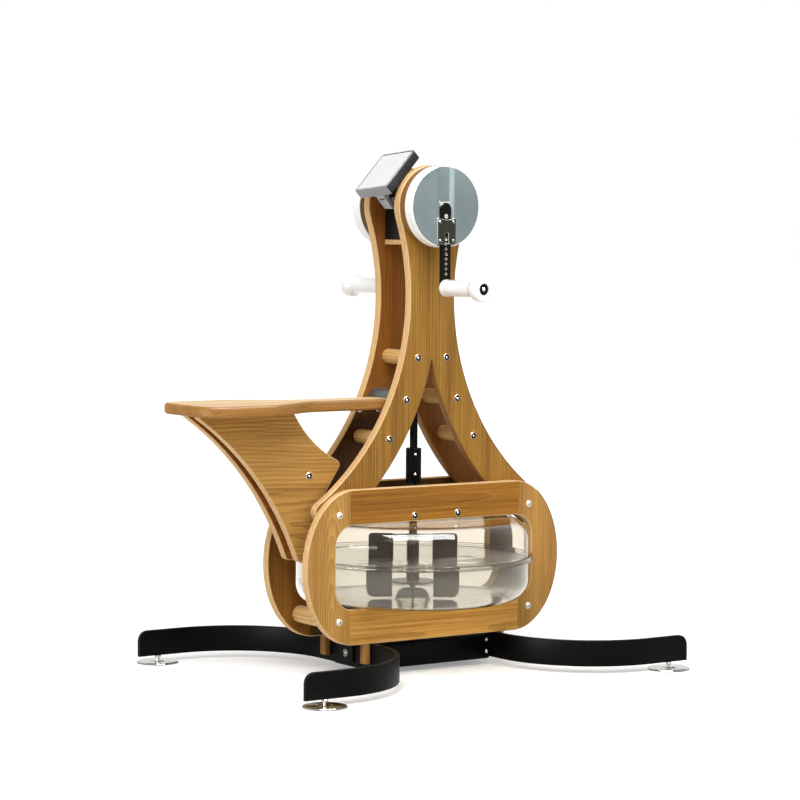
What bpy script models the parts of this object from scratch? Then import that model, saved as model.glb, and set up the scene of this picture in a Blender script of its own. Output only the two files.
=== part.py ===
"""Water grinder ergometer: oak A-frame with a seat, a hand-cranked head and a water tank.

Frame: +Z up, the user sits at -X and looks along +X, the cranks turn about an axis along Y.
Each piece is placed from the drive shaft's axis; the assembly's parent then puts the middle
of the whole footprint over the world origin.  Metres.
"""

import math

import bmesh
import bpy
from mathutils import Matrix, Vector

# Driving sizes
FIT = 0.0003  # gap between pieces that touch

# side panels (A-frame)
HUB_Z = 1.220  # height of the crank axis
PANEL_GAP = 0.115  # clear width between the side panels
PANEL_T = 0.025
NECK_DROP = 0.235  # narrowest place below the crank axis
NECK_HALF = 0.0705  # half width there
LEG_W = 0.0883  # width of each leg
LEG_END_IN = 0.0651  # middle of the leg's end, from the end of the oblong frame
LEG_END_DROP = 0.0802  # and below its top
LEG_END_R = 0.018
ARCH_FILLET = 0.006
WOOD_EDGE = 0.0022  # rounding of timber edges

# oblong tank frames
OBLONG_T = 0.024
OBLONG_HALF = 0.403
OBLONG_H = 0.403
OBLONG_END = 0.145  # length of the half-ellipse at each end
END_W = 0.089  # width of the upright end of the frame
RAIL_LOW_H = 0.0925
RAIL_HIGH_H = 0.0915
WINDOW_R = 0.055
RAIL_SHY = 0.044  # the rails stop this far short of the window's end

# dowels and bolts
DOWEL_R = 0.0195
DOWEL_ANGLES = (13.55, 23.15, 32.75)  # along each leg, below the neck centre
CORNER_DOWEL_R = 0.0225
CORNER_BOLT_IN = 0.099  # from the end of the oblong frame
CORNER_BOLT_UP = 0.0635  # above its bottom
CORNER_BOLT_DOWN = 0.0645  # below its top
BOLT_HOLE_R = 0.0042

# seat
SEAT_T = 0.028
SEAT_RISE = 0.0024  # top of the seat above the axis of the clamp bar
SEAT_END_X = -0.710
SEAT_HALF = 0.130
SEAT_TIP_HALF = 0.050
SEAT_TIP_X = -0.045
SEAT_CORNER_R = 0.062
SEAT_EDGE = 0.005
TAPER_X = (-0.520, -0.330)  # the paddle narrows between these
BRACKET_T = 0.023
BRACKET_GAP = 0.033  # clear width between the two bracket plates
BRACKET_TOP_X = (-0.674, -0.400)
BRACKET_TOE = (-0.082, -0.122)  # from the upper left corner bolt
BRACKET_NOSE = (0.052, 0.129)  # from the same bolt
BRACKET_FRONT_R = 0.775
BRACKET_BACK_R = 0.311
BRACKET_LOBE_R = 0.035
BRACKET_BOLT_FROM = (-0.0504, 0.0993)  # from the same bolt
SPACER_R = 0.017
CLAMP_BAR_R = 0.026

# head
AXLE_R = 0.0125
GEARBOX_HALF_X = 0.058
GEARBOX_DROP = 0.0865  # bottom below the crank axis
GEARBOX_RISE = 0.0480  # top above the crank axis
GEARBOX_WALL = 0.007
SHELF_T = 0.0130
GEAR_R = 0.040  # crown gear, outer pitch radius
PINION_R = 0.020
GEAR_FACE = 0.012
DRUM_R = 0.1070
DRUM_GAP = 0.0231  # between side panel and drum
DRUM_L = 0.0331
DRUM_WEB = 0.016
DRUM_RIM = 0.007
DRUM_BOSS_R = 0.034
DRUM_EDGE = 0.0030
HEAD_DISC_IN = 0.0028  # wooden disc behind the drum, inside the head's edge
DISC_PROUD = 0.0026  # disc's face in front of the drum's
DISC_T = 0.0023
DISC_IN = 0.0039  # disc's edge inside the drum's
CHANNEL_W = 0.0320
CHANNEL_DEPTH = 0.0083

# cranks
BAR_W = 0.0310
BAR_T = 0.0080
BAR_RISE = 0.0100  # top of the bar above the crank axis
CRANK_R = 0.2115  # crank axis to grip axis
HOLE_R = 0.0030
HOLE_PITCH = 0.0130
HOLE_COUNT = 8
HOLE_FIRST = 0.0365  # lowest index hole above the grip axis
CLAMP_HALF = 0.029
CLAMP_DROP = (0.098, 0.030)  # lower and upper edge below the crank axis
CLAMP_T = 0.0030
SPINDLE_R = 0.0060
GRIP_R = 0.0215
GRIP_INNER_R = 0.0226
GRIP_END_R = 0.0330
GRIP_L = 0.1695
GRIP_CAP_R = 0.0145

# drive line
SHAFT_R = 0.0105
COUPLING_R = 0.0207
COUPLING_L = 0.092
COUPLING_RISE = 0.062  # above the bridge
BLADE_IN = 0.052
BLADE_OUT = 0.118
BLADE_T = 0.004
BLADE_TURN = -34.6
IMPELLER_UP = 0.0447  # above the tank's bottom
IMPELLER_DOWN = 0.0385  # below the tank's top
IMPELLER_DISC_R = 0.058
IMPELLER_DISC_T = 0.005
HUB_TUBE_R = 0.0165

# tank
TANK_IN = 0.008  # tank's side short of the window's end
FLANGE_OUT = 0.009  # the flange stands out this far
FLANGE_T = 0.0065
TANK_LOW_H = 0.1132  # height of the lower half
TANK_SHY = 0.0035  # tank's top below the window's edge
TANK_WALL = 0.0045
TANK_TOP_CORNER = 0.070
TANK_LOW_CORNER = 0.055
PIVOT_BOSS_R = 0.045
PIVOT_BOSS_H = 0.030
PIVOT_R = 0.0055
PIVOT_DEPTH = 0.014

# bridge above the tank
BRIDGE_HALF_X = 0.095
BRIDGE_RISE = 0.002  # above the window's edge
BRIDGE_T = 0.026
BRIDGE_BOLT_X = 0.069

# display
DISPLAY_FROM_HUB = (-0.0902, 0.0840)  # centre of the display, along X and Z
ARM_BEND = (-0.0850, -0.0065)  # lower bend of the display's arm, from the crank axis
ARM_FLANGE_H = 0.030
ARM_T = 0.0050
DISPLAY_TILT = 45.8
DISPLAY_TWIST = 7.0
DISPLAY_W = 0.1315
DISPLAY_L = 0.1444
DISPLAY_T = 0.0280
SCREEN_BORDER = 0.0055
SCREEN_T = 0.0020
HINGE_DROP = 0.050  # hinge below the display's centre, along its face
HINGE_BACK = 0.0165  # hinge behind the display's back
KNUCKLE_R = 0.0075
KNUCKLE_W = 0.027
EAR_T = 0.0045
PIN_R = 0.0025

# base
STRIP_T = 0.012
STRIP_BOTTOM = 0.0195
STRIP_H = 0.0687
STRIP_MID_X = 0.2006  # centre line of the straight middle part
STRIP_STRAIGHT = 0.1365  # half length of that part
STRIP_R = 0.2734
STRIP_END_X = 0.602
STRIP_END_R = 0.026  # rounding of the strip's upper end corners
BEAM_Z = (0.014, 0.080)
BEAM_WALL = 0.004
END_PLATE = (0.064, 0.044, 0.006)  # along Y, along Z, thickness
END_PLATE_Z = 0.052
BLOCK_X = 0.016
BLOCK_BOTTOM = 0.036
FOOT_X = 0.544
PAD_R = 0.056
PAD_T = 0.0045
STUD_R = 0.0042
STUD_TOP = 0.040

# Derived places
INNER = PANEL_GAP / 2
OUTER = INNER + PANEL_T
STRIP_TOP = STRIP_BOTTOM + STRIP_H
OBLONG_BOTTOM = STRIP_TOP + FIT
OBLONG_TOP = OBLONG_BOTTOM + OBLONG_H
OBLONG_IN = OUTER + FIT
NECK_Z = HUB_Z - NECK_DROP
LEG_SPREAD = OBLONG_HALF - LEG_END_IN - NECK_HALF
LEG_FALL = NECK_Z - OBLONG_TOP + LEG_END_DROP
# The leg is upright at the neck and its middle line passes through the middle of its end.
NECK_R = (LEG_SPREAD ** 2 + LEG_FALL ** 2 - (LEG_W / 2) ** 2) / (LEG_W + 2 * LEG_SPREAD)
NECK_X = NECK_HALF + NECK_R
HEAD_R = math.hypot(NECK_X, NECK_DROP) - NECK_R  # the head runs into the neck without a kink
ARCH_R = NECK_R + LEG_W
BOLT_LINE_R = NECK_R + LEG_W / 2
LEG_END_ANGLE = math.degrees(math.asin(LEG_FALL / BOLT_LINE_R))
WINDOW_HALF = OBLONG_HALF - END_W
RAIL_HALF = WINDOW_HALF - RAIL_SHY
TANK_R = WINDOW_HALF - TANK_IN
FLANGE_R = TANK_R + FLANGE_OUT
WINDOW_BOTTOM = OBLONG_BOTTOM + RAIL_LOW_H
WINDOW_TOP = OBLONG_TOP - RAIL_HIGH_H
CORNER_BOLT_X = OBLONG_HALF - CORNER_BOLT_IN
CORNER_BOLT_Z = (OBLONG_BOTTOM + CORNER_BOLT_UP, OBLONG_TOP - CORNER_BOLT_DOWN)
STRIP_CX = STRIP_MID_X + STRIP_R
FOOT_Y = STRIP_STRAIGHT + STRIP_R
DRUM_BACK = OUTER + DRUM_GAP  # distance of the drum's rim from the middle plane
DRUM_FACE = DRUM_BACK + DRUM_L
DISC_FACE = DRUM_FACE + DISC_PROUD
BAR_BACK = DISC_FACE - BAR_T
CLAMP_BACK = DISC_FACE + FIT
GRIP_START = CLAMP_BACK + FIT
GRIP_END_Y = GRIP_START + GRIP_L
BEAM_HALF_Y = OUTER
GRIP_Z = HUB_Z - CRANK_R
BAR_TOP = HUB_Z + BAR_RISE
GEARBOX_TOP = HUB_Z + GEARBOX_RISE
GEARBOX_BOTTOM = HUB_Z - GEARBOX_DROP
TANK_BOTTOM = WINDOW_BOTTOM + FIT
TANK_TOP = WINDOW_TOP - TANK_SHY
TANK_SPLIT = TANK_BOTTOM + TANK_LOW_H
BRIDGE_BOTTOM = WINDOW_TOP + BRIDGE_RISE
COUPLING_Z = (BRIDGE_BOTTOM + BRIDGE_T + COUPLING_RISE, BRIDGE_BOTTOM + BRIDGE_T + COUPLING_RISE + COUPLING_L)
SHAFT_JOINT_Z = sum(COUPLING_Z) / 2
IMPELLER_Z = (TANK_BOTTOM + IMPELLER_UP, TANK_TOP - IMPELLER_DOWN)
TAU = 2 * math.pi


# Scene helpers
for old in list(bpy.data.objects):
    bpy.data.objects.remove(old, do_unlink=True)

PARTS = bpy.data.collections.new("water_grinder_ergometer")
CUTTERS = bpy.data.collections.new("cutters")
bpy.context.scene.collection.children.link(PARTS)
bpy.context.scene.collection.children.link(CUTTERS)


def material(name, colour, rough, metal=0.0):
    mat = bpy.data.materials.new(name)
    mat.use_nodes = True
    shader = mat.node_tree.nodes["Principled BSDF"]
    shader.inputs["Base Color"].default_value = (*colour, 1.0)
    shader.inputs["Roughness"].default_value = rough
    shader.inputs["Metallic"].default_value = metal
    return mat


LOOKS = {
    "oak": ((0.50, 0.26, 0.085), 0.45, 0.0),
    "black": ((0.012, 0.013, 0.014), 0.45, 0.0),
    "steel": ((0.60, 0.61, 0.62), 0.30, 1.0),
    "chrome": ((0.75, 0.75, 0.76), 0.12, 1.0),
    "disc": ((0.27, 0.32, 0.33), 0.40, 0.4),
    "white": ((0.85, 0.85, 0.84), 0.35, 0.0),
    "screen": ((0.62, 0.65, 0.64), 0.30, 0.0),
    "tank": ((0.55, 0.57, 0.56), 0.08, 0.0),
    "smoke": ((0.05, 0.055, 0.055), 0.30, 0.0),
    "grey": ((0.36, 0.38, 0.40), 0.40, 0.3),
}


def finish(obj, look, smooth=35.0):
    """Gives the piece its own material, its shading and its collection."""
    colour, rough, metal = LOOKS[look]
    obj.data.materials.clear()
    obj.data.materials.append(material(obj.name + "_" + look, colour, rough, metal))
    if smooth:
        obj.data.shade_smooth()
        obj.data.set_sharp_from_angle(angle=math.radians(smooth))
    return obj


ASSEMBLY = bpy.data.objects.new("assembly", None)
ASSEMBLY.location = (-(SEAT_END_X + STRIP_END_X) / 2, 0.0, 0.0)
PARTS.objects.link(ASSEMBLY)


def place(mesh, name, collection=PARTS, matrix=None):
    obj = bpy.data.objects.new(name, mesh)
    collection.objects.link(obj)
    obj.parent = ASSEMBLY
    if matrix is not None:
        obj.matrix_basis = matrix
    if collection is CUTTERS:
        obj.hide_render = True
        obj.display_type = "WIRE"
    return obj


def pivot(name, where, parent=None):
    """Empty on a joint's axis."""
    empty = place(None, name)
    empty.location = where
    if parent is not None:
        carry(empty, parent)
    return empty


def carry(obj, joint):
    """Hangs a placed piece on a joint's empty and leaves it where it is."""
    obj.parent = joint
    obj.matrix_parent_inverse = Matrix.Translation(joint.location).inverted()
    return obj


def arc(cx, cy, r, start, end, steps):
    """Points of an arc from start to end degrees, both included."""
    return [
        (cx + r * math.cos(math.radians(start + (end - start) * k / steps)),
         cy + r * math.sin(math.radians(start + (end - start) * k / steps)))
        for k in range(steps + 1)
    ]


def arc_between(p, q, r, steps, side=1):
    """Arc of radius r from p to q; side picks which way it bows."""
    a, b = Vector(p), Vector(q)
    chord = b - a
    lift = math.sqrt(max(r * r - (chord.length / 2) ** 2, 0.0))
    centre = (a + b) / 2 + Vector((-chord.y, chord.x)).normalized() * lift * side
    t0 = math.atan2(a.y - centre.y, a.x - centre.x)
    t1 = math.atan2(b.y - centre.y, b.x - centre.x)
    turn = (t1 - t0 + math.pi) % TAU - math.pi
    return [
        (centre.x + r * math.cos(t0 + turn * k / steps), centre.y + r * math.sin(t0 + turn * k / steps))
        for k in range(steps + 1)
    ]


def round_corner(prev, corner, nxt, r, steps):
    """Points of the fillet of radius r at a straight corner."""
    c = Vector(corner)
    u = (Vector(prev) - c).normalized()
    v = (Vector(nxt) - c).normalized()
    half = u.angle(v) / 2
    centre = c + (u + v).normalized() * (r / math.sin(half))
    start = c + u * (r / math.tan(half))
    end = c + v * (r / math.tan(half))
    t0 = math.atan2(start.y - centre.y, start.x - centre.x)
    t1 = math.atan2(end.y - centre.y, end.x - centre.x)
    turn = (t1 - t0 + math.pi) % TAU - math.pi
    return [
        (centre.x + r * math.cos(t0 + turn * k / steps), centre.y + r * math.sin(t0 + turn * k / steps))
        for k in range(steps + 1)
    ]


def circle_points(cx, cy, r, steps):
    return [(cx + r * math.cos(TAU * k / steps), cy + r * math.sin(TAU * k / steps)) for k in range(steps)]


def outline(name, loops, half, matrix, collection=PARTS, bevel=0.0, segments=1):
    """A flat piece: closed outlines (the first is outer) as a filled 2D curve, made a mesh."""
    curve = bpy.data.curves.new(name, "CURVE")
    curve.dimensions = "2D"
    curve.fill_mode = "BOTH"
    curve.extrude = half
    for loop in loops:
        clean = [p for k, p in enumerate(loop) if (Vector(p) - Vector(loop[k - 1])).length > 1e-6]
        spline = curve.splines.new("POLY")
        spline.points.add(len(clean) - 1)
        for point, (x, y) in zip(spline.points, clean):
            point.co = (x, y, 0.0, 1.0)
        spline.use_cyclic_u = True
    source = bpy.data.objects.new(name + "_curve", curve)
    bpy.context.scene.collection.objects.link(source)
    graph = bpy.context.evaluated_depsgraph_get()
    mesh = bpy.data.meshes.new_from_object(source.evaluated_get(graph))
    bpy.data.objects.remove(source, do_unlink=True)
    bm = bmesh.new()
    bm.from_mesh(mesh)
    bmesh.ops.remove_doubles(bm, verts=bm.verts, dist=1e-6)
    if len(loops) == 1:
        bmesh.ops.dissolve_limit(bm, angle_limit=math.radians(0.5), verts=bm.verts, edges=bm.edges)
    bmesh.ops.recalc_face_normals(bm, faces=bm.faces)
    bm.to_mesh(mesh)
    bm.free()
    mesh.name = name
    obj = place(mesh, name, collection, matrix)
    if bevel:
        add_bevel(obj, bevel, segments)
    return obj


def add_bevel(obj, width, segments=1, angle=40.0):
    mod = obj.modifiers.new("edges", "BEVEL")
    mod.width = width
    mod.segments = segments
    mod.limit_method = "ANGLE"
    mod.angle_limit = math.radians(angle)
    return mod


def box(name, size, centre, collection=PARTS, bevel=0.0, segments=1, matrix=None):
    mesh = bpy.data.meshes.new(name)
    bm = bmesh.new()
    bmesh.ops.create_cube(bm, size=1.0)
    bmesh.ops.scale(bm, vec=Vector(size), verts=bm.verts)
    bm.to_mesh(mesh)
    bm.free()
    obj = place(mesh, name, collection, matrix if matrix is not None else Matrix.Translation(centre))
    if bevel:
        add_bevel(obj, bevel, segments)
    return obj


def cylinder(name, r, length, centre, axis="Z", collection=PARTS, steps=24, bevel=0.0):
    mesh = bpy.data.meshes.new(name)
    bm = bmesh.new()
    bmesh.ops.create_cone(bm, cap_ends=True, segments=steps, radius1=r, radius2=r, depth=length)
    bm.to_mesh(mesh)
    bm.free()
    turn = {"Z": Matrix(), "X": Matrix.Rotation(math.radians(90), 4, "Y"),
            "Y": Matrix.Rotation(math.radians(90), 4, "X")}[axis]
    obj = place(mesh, name, collection, Matrix.Translation(centre) @ turn)
    if bevel:
        add_bevel(obj, bevel)
    return obj


def turned(name, profile, matrix, steps=48, collection=PARTS, closed=False):
    """A turned piece: profile of (radius, height) from top to bottom down the outer side, Screw round Z."""
    mesh = bpy.data.meshes.new(name)
    bm = bmesh.new()
    verts = [bm.verts.new((r, 0.0, z)) for r, z in profile]
    for a, b in zip(verts, verts[1:]):
        bm.edges.new((a, b))
    if closed:
        bm.edges.new((verts[-1], verts[0]))
    bm.to_mesh(mesh)
    bm.free()
    obj = place(mesh, name, collection, matrix)
    mod = obj.modifiers.new("turn", "SCREW")
    mod.axis = "Z"
    mod.angle = TAU
    mod.steps = steps
    mod.render_steps = steps
    mod.use_merge_vertices = True
    mod.merge_threshold = 0.00001
    return obj


def boolean(obj, other, operation="DIFFERENCE"):
    mod = obj.modifiers.new(operation.lower(), "BOOLEAN")
    mod.operation = operation
    mod.solver = "EXACT"
    mod.object = other
    return mod


def cut_holes(obj, centres, r, axis, length, at=0.0, steps=6):
    """Round through holes as one joined cutter."""
    mesh = bpy.data.meshes.new(obj.name + "_holes")
    bm = bmesh.new()
    for u, v in centres:
        turn = {"Z": Matrix(), "Y": Matrix.Rotation(math.radians(90), 4, "X"),
                "X": Matrix.Rotation(math.radians(90), 4, "Y")}[axis]
        where = {"Y": (u, at, v), "Z": (u, v, at), "X": (at, u, v)}[axis]
        bmesh.ops.create_cone(bm, cap_ends=True, segments=steps, radius1=r, radius2=r, depth=length,
                              matrix=Matrix.Translation(where) @ turn)
    bm.to_mesh(mesh)
    bm.free()
    boolean(obj, place(mesh, obj.name + "_holes", CUTTERS))


def upright(y):
    """Plane of a plate that stands along X and Z, centred at this y."""
    return Matrix.Translation((0.0, y, 0.0)) @ Matrix.Rotation(math.radians(90), 4, "X")


def across(side):
    """Turns a piece built along +Z so that it points outwards along Y on one side (-1 near, 1 far)."""
    return Matrix.Rotation(math.radians(-90 * side), 4, "X")


# Side panels
def bolt_on_leg(side, angle):
    a = math.radians(angle)
    return (side * (NECK_X - BOLT_LINE_R * math.cos(a)), NECK_Z - BOLT_LINE_R * math.sin(a))


LEG_BOLTS = [bolt_on_leg(s, a) for s in (-1, 1) for a in DOWEL_ANGLES]
CORNER_BOLTS = [(s * CORNER_BOLT_X, z) for s in (-1, 1) for z in CORNER_BOLT_Z]
CLAMP_X, CLAMP_AXIS_Z = LEG_BOLTS[1]
SEAT_TOP = CLAMP_AXIS_Z + SEAT_RISE
SEAT_BOTTOM = SEAT_TOP - SEAT_T
BRACKET_BOLT = (-CORNER_BOLT_X + BRACKET_BOLT_FROM[0], CORNER_BOLT_Z[1] + BRACKET_BOLT_FROM[1])


def on_leg(radius, angle):
    """Point of the right leg at a radius and an angle below the neck centre."""
    a = math.radians(angle)
    return (NECK_X - radius * math.cos(a), NECK_Z - radius * math.sin(a))


def side_panel_half():
    """Right half of the outline, from the head's top down the outer edge, round the foot and up the arch."""
    tangent = math.degrees(math.atan2(NECK_Z - HUB_Z, NECK_X))
    points = arc(0.0, HUB_Z, HEAD_R, 90.0, tangent, 10)
    outer_end, inner_end = on_leg(NECK_R, LEG_END_ANGLE), on_leg(ARCH_R, LEG_END_ANGLE)
    before = on_leg(NECK_R, LEG_END_ANGLE - 3.0)
    after = on_leg(ARCH_R, LEG_END_ANGLE - 3.0)
    stop = 180.0 + LEG_END_ANGLE - math.degrees(LEG_END_R / NECK_R)
    points += arc(NECK_X, NECK_Z, NECK_R, 180.0 + tangent, stop, 12)[1:]
    points += round_corner(before, outer_end, inner_end, LEG_END_R * 0.95, 3)
    points += round_corner(outer_end, inner_end, after, LEG_END_R * 0.5, 2)
    low = 180.0 + LEG_END_ANGLE - math.degrees(LEG_END_R / ARCH_R)
    apex_z = NECK_Z - math.sqrt(ARCH_R ** 2 - (NECK_X - ARCH_FILLET) ** 2)
    high = 180.0 + math.degrees(math.asin((NECK_Z - apex_z) / ARCH_R))
    points += arc(NECK_X, NECK_Z, ARCH_R, low, high, 10)
    top = points[-1]
    points += [(top[0] * 0.5, top[1] + ARCH_FILLET * 0.45), (0.0, top[1] + ARCH_FILLET * 0.55)]
    return points


def side_panel(name, side):
    """Oak A-panel with the round wooden disc that is glued to the outside of its head."""
    y = side * (INNER + OUTER) / 2
    half = side_panel_half()
    mirrored = [(-x, z) for x, z in reversed(half[1:-1])]
    obj = outline(name, [half + mirrored], PANEL_T / 2, upright(y), bevel=WOOD_EDGE)
    top_corners = [(s * CORNER_BOLT_X, CORNER_BOLT_Z[1]) for s in (-1, 1)]
    cut_holes(obj, LEG_BOLTS + top_corners, BOLT_HOLE_R, "Y", PANEL_T * 3, y)
    inner, outer = OUTER - 0.001, DRUM_BACK - 0.001
    disc = cylinder(name + "_head_disc", HEAD_R - HEAD_DISC_IN, outer - inner,
                    (0, side * (inner + outer) / 2, HUB_Z), "Y", CUTTERS, 24)
    boolean(obj, disc, "UNION")
    bore = cylinder(name + "_bore", AXLE_R + 4 * FIT, 4 * (DRUM_BACK - INNER), (0, y, HUB_Z), "Y", CUTTERS, 20)
    boolean(obj, bore)
    return finish(obj, "oak")


# Oblong frames
def oblong_curve(x_from, top, steps):
    """Outer edge from the end's tip (top or bottom quarter) back to the distance x_from from the middle."""
    middle = (OBLONG_TOP + OBLONG_BOTTOM) / 2
    half = (OBLONG_TOP - OBLONG_BOTTOM) / 2
    start = OBLONG_HALF - OBLONG_END
    last = math.acos(min(max((x_from - start) / OBLONG_END, 0.0), 1.0))
    sign = 1 if top else -1
    return [
        (start + OBLONG_END * math.cos(last * k / steps), middle + sign * half * math.sin(last * k / steps))
        for k in range(steps + 1)
    ]


def window_angle(x):
    """Angle on the window's corner arc where it crosses this distance from the middle."""
    return math.degrees(math.acos(min(max((x - WINDOW_HALF + WINDOW_R) / WINDOW_R, 0.0), 1.0)))


def oblong_end(name, side, y):
    """C-shaped end piece between the outline and the window."""
    x = RAIL_HALF + FIT / 2
    points = list(reversed(oblong_curve(x, True, 8))) + oblong_curve(x, False, 8)[1:]
    wx, start = WINDOW_HALF - WINDOW_R, window_angle(x)
    points += arc(wx, WINDOW_BOTTOM + WINDOW_R, WINDOW_R, -start, 0.0, 4)
    points += arc(wx, WINDOW_TOP - WINDOW_R, WINDOW_R, 0.0, start, 4)
    if side < 0:
        points = [(-u, v) for u, v in reversed(points)]
    obj = outline(name, [points], OBLONG_T / 2, upright(y), bevel=WOOD_EDGE)
    cut_holes(obj, [(side * CORNER_BOLT_X, z) for z in CORNER_BOLT_Z], BOLT_HOLE_R, "Y", OBLONG_T * 3, y)
    return finish(obj, "oak")


def oblong_rail(name, top, y):
    """Straight rail; its ends follow the outline and the window where these already curve."""
    x = RAIL_HALF - FIT / 2
    start = OBLONG_HALF - OBLONG_END
    edge = OBLONG_TOP if top else OBLONG_BOTTOM
    curve = [p for p in reversed(oblong_curve(start, top, 18)) if start < p[0] < x]
    tip = oblong_curve(x, top, 1)[-1]
    outer = [(start, edge)] + curve + [tip]
    wx, turn = WINDOW_HALF - WINDOW_R, window_angle(x)
    if top:
        right = outer + arc(wx, WINDOW_TOP - WINDOW_R, WINDOW_R, turn, 90.0, 2)
    else:
        right = arc(wx, WINDOW_BOTTOM + WINDOW_R, WINDOW_R, -90.0, -turn, 2) + list(reversed(outer))
    points = right + [(-u, v) for u, v in reversed(right)]
    obj = outline(name, [points], OBLONG_T / 2, upright(y), bevel=WOOD_EDGE)
    if top:
        z = BRIDGE_BOTTOM + BRIDGE_T / 2
        cut_holes(obj, [(-BRIDGE_BOLT_X, z), (BRIDGE_BOLT_X, z)], BOLT_HOLE_R, "Y", OBLONG_T * 3, y)
    return finish(obj, "oak")


for side, word in ((-1, "near"), (1, "far")):
    oblong_y = side * (OBLONG_IN + OBLONG_T / 2)
    side_panel("side_panel_" + word, side)
    oblong_end("tank_frame_" + word + "_left", -1, oblong_y)
    oblong_end("tank_frame_" + word + "_right", 1, oblong_y)
    oblong_rail("tank_frame_" + word + "_top", True, oblong_y)
    oblong_rail("tank_frame_" + word + "_bottom", False, oblong_y)


# Dowels
def dowel(name, r, half, x, z):
    obj = cylinder(name, r, 2 * (half - FIT), (x, 0.0, z), "Y", steps=16)
    return finish(obj, "oak")


for k, (x, z) in enumerate(LEG_BOLTS):
    if k != 1:  # the seat's clamp bar takes the place of this one
        dowel("leg_dowel_%s_%d" % ("left" if x < 0 else "right", k % 3 + 1), DOWEL_R, INNER, x, z)
for x, z in CORNER_BOLTS:
    word = ("left" if x < 0 else "right") + ("_upper" if z > TANK_SPLIT else "_lower")
    dowel("corner_dowel_" + word, CORNER_DOWEL_R, INNER if z > TANK_SPLIT else OUTER, x, z)

bridge = box("tank_bridge", (2 * BRIDGE_HALF_X, 2 * (OUTER - FIT), BRIDGE_T),
             (0.0, 0.0, BRIDGE_BOTTOM + BRIDGE_T / 2), bevel=WOOD_EDGE)
boolean(bridge, cylinder("bridge_bore", SHAFT_R + 6 * FIT, 0.1, (0, 0, BRIDGE_BOTTOM), "Z", CUTTERS, 16))
finish(bridge, "oak")


# Seat
def smoothstep(t):
    t = min(max(t, 0.0), 1.0)
    return t * t * (3.0 - 2.0 * t)


def seat_half(x):
    share = smoothstep((x - TAPER_X[0]) / (TAPER_X[1] - TAPER_X[0]))
    return SEAT_HALF + (SEAT_TIP_HALF - SEAT_HALF) * share


near_edge = arc(SEAT_END_X + SEAT_CORNER_R, -SEAT_HALF + SEAT_CORNER_R, SEAT_CORNER_R, 180.0, 270.0, 6)
steps = 9
near_edge += [
    (x, -seat_half(x)) for x in (TAPER_X[0] + (TAPER_X[1] - TAPER_X[0]) * k / steps for k in range(steps + 1))
]
tip_corner = (SEAT_TIP_X, -SEAT_TIP_HALF)
near_edge += round_corner((TAPER_X[1], -SEAT_TIP_HALF), tip_corner, (SEAT_TIP_X, 0.0), 0.008, 2)
seat_loop = near_edge + [(x, -y) for x, y in reversed(near_edge)]
seat = outline("seat_board", [seat_loop], SEAT_T / 2, Matrix.Translation((0, 0, SEAT_BOTTOM + SEAT_T / 2)),
               bevel=SEAT_EDGE)
finish(seat, "oak")

clamp = cylinder("seat_clamp_bar", CLAMP_BAR_R, 2 * (INNER - FIT), (CLAMP_X, 0, CLAMP_AXIS_Z), "Y", steps=24)
cut_low = SEAT_TOP + FIT
cut_size = 4 * CLAMP_BAR_R
clamp_flat = box("clamp_flat", (cut_size, 4 * INNER, cut_size), (CLAMP_X, 0, cut_low - cut_size / 2), CUTTERS)
boolean(clamp, clamp_flat)
finish(clamp, "grey")


def bracket_loop():
    """Bracket plate: concave front and back edges, a nose, and a lobe round the corner dowel."""
    top = SEAT_BOTTOM - FIT
    lobe = Vector((-CORNER_BOLT_X, CORNER_BOLT_Z[1]))
    nose = lobe + Vector(BRACKET_NOSE)
    toe = lobe + Vector(BRACKET_TOE)
    points = arc_between((BRACKET_TOP_X[1], top), nose, BRACKET_BACK_R, 5, side=1)[:-1]
    before = Vector(points[-1])
    reach = lobe + Vector((-0.62, 0.785)).normalized() * BRACKET_LOBE_R * 1.0
    points += round_corner(before, nose, reach, 0.012, 3)
    points += arc(lobe.x, lobe.y, BRACKET_LOBE_R, 112.0, -20.0, 5)
    points += arc(lobe.x, lobe.y, BRACKET_LOBE_R, -20.0, -100.0, 3)[1:]
    inner_toe = toe + Vector((0.052, 0.0))
    points += round_corner(points[-1], (inner_toe.x, inner_toe.y + 0.075), inner_toe, 0.012, 2)
    points += round_corner((inner_toe.x, inner_toe.y + 0.05), inner_toe, toe, 0.010, 2)
    points += round_corner(inner_toe, toe, (toe.x - 0.03, toe.y + 0.07), 0.010, 2)
    points += arc_between(points[-1], (BRACKET_TOP_X[0], top), BRACKET_FRONT_R, 8, side=1)[1:]
    return points


for side, word in ((-1, "near"), (1, "far")):
    y = side * (BRACKET_GAP / 2 + BRACKET_T / 2)
    plate = outline("seat_bracket_" + word, [bracket_loop()], BRACKET_T / 2, upright(y), bevel=WOOD_EDGE)
    hole = cylinder(plate.name + "_dowel", CORNER_DOWEL_R + FIT, 0.1,
                    (-CORNER_BOLT_X, y, CORNER_BOLT_Z[1]), "Y", CUTTERS, 16)
    boolean(plate, hole)
    cut_holes(plate, [BRACKET_BOLT], BOLT_HOLE_R, "Y", 0.1, y)
    finish(plate, "oak")

spacer_at = (BRACKET_BOLT[0], 0, BRACKET_BOLT[1])
spacer = cylinder("bracket_spacer", SPACER_R, BRACKET_GAP - 2 * FIT, spacer_at, "Y", steps=16)
boolean(spacer, cylinder("spacer_bolt", BOLT_HOLE_R, 2 * BRACKET_GAP, spacer_at, "Y", CUTTERS, 6))
finish(spacer, "oak")


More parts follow.
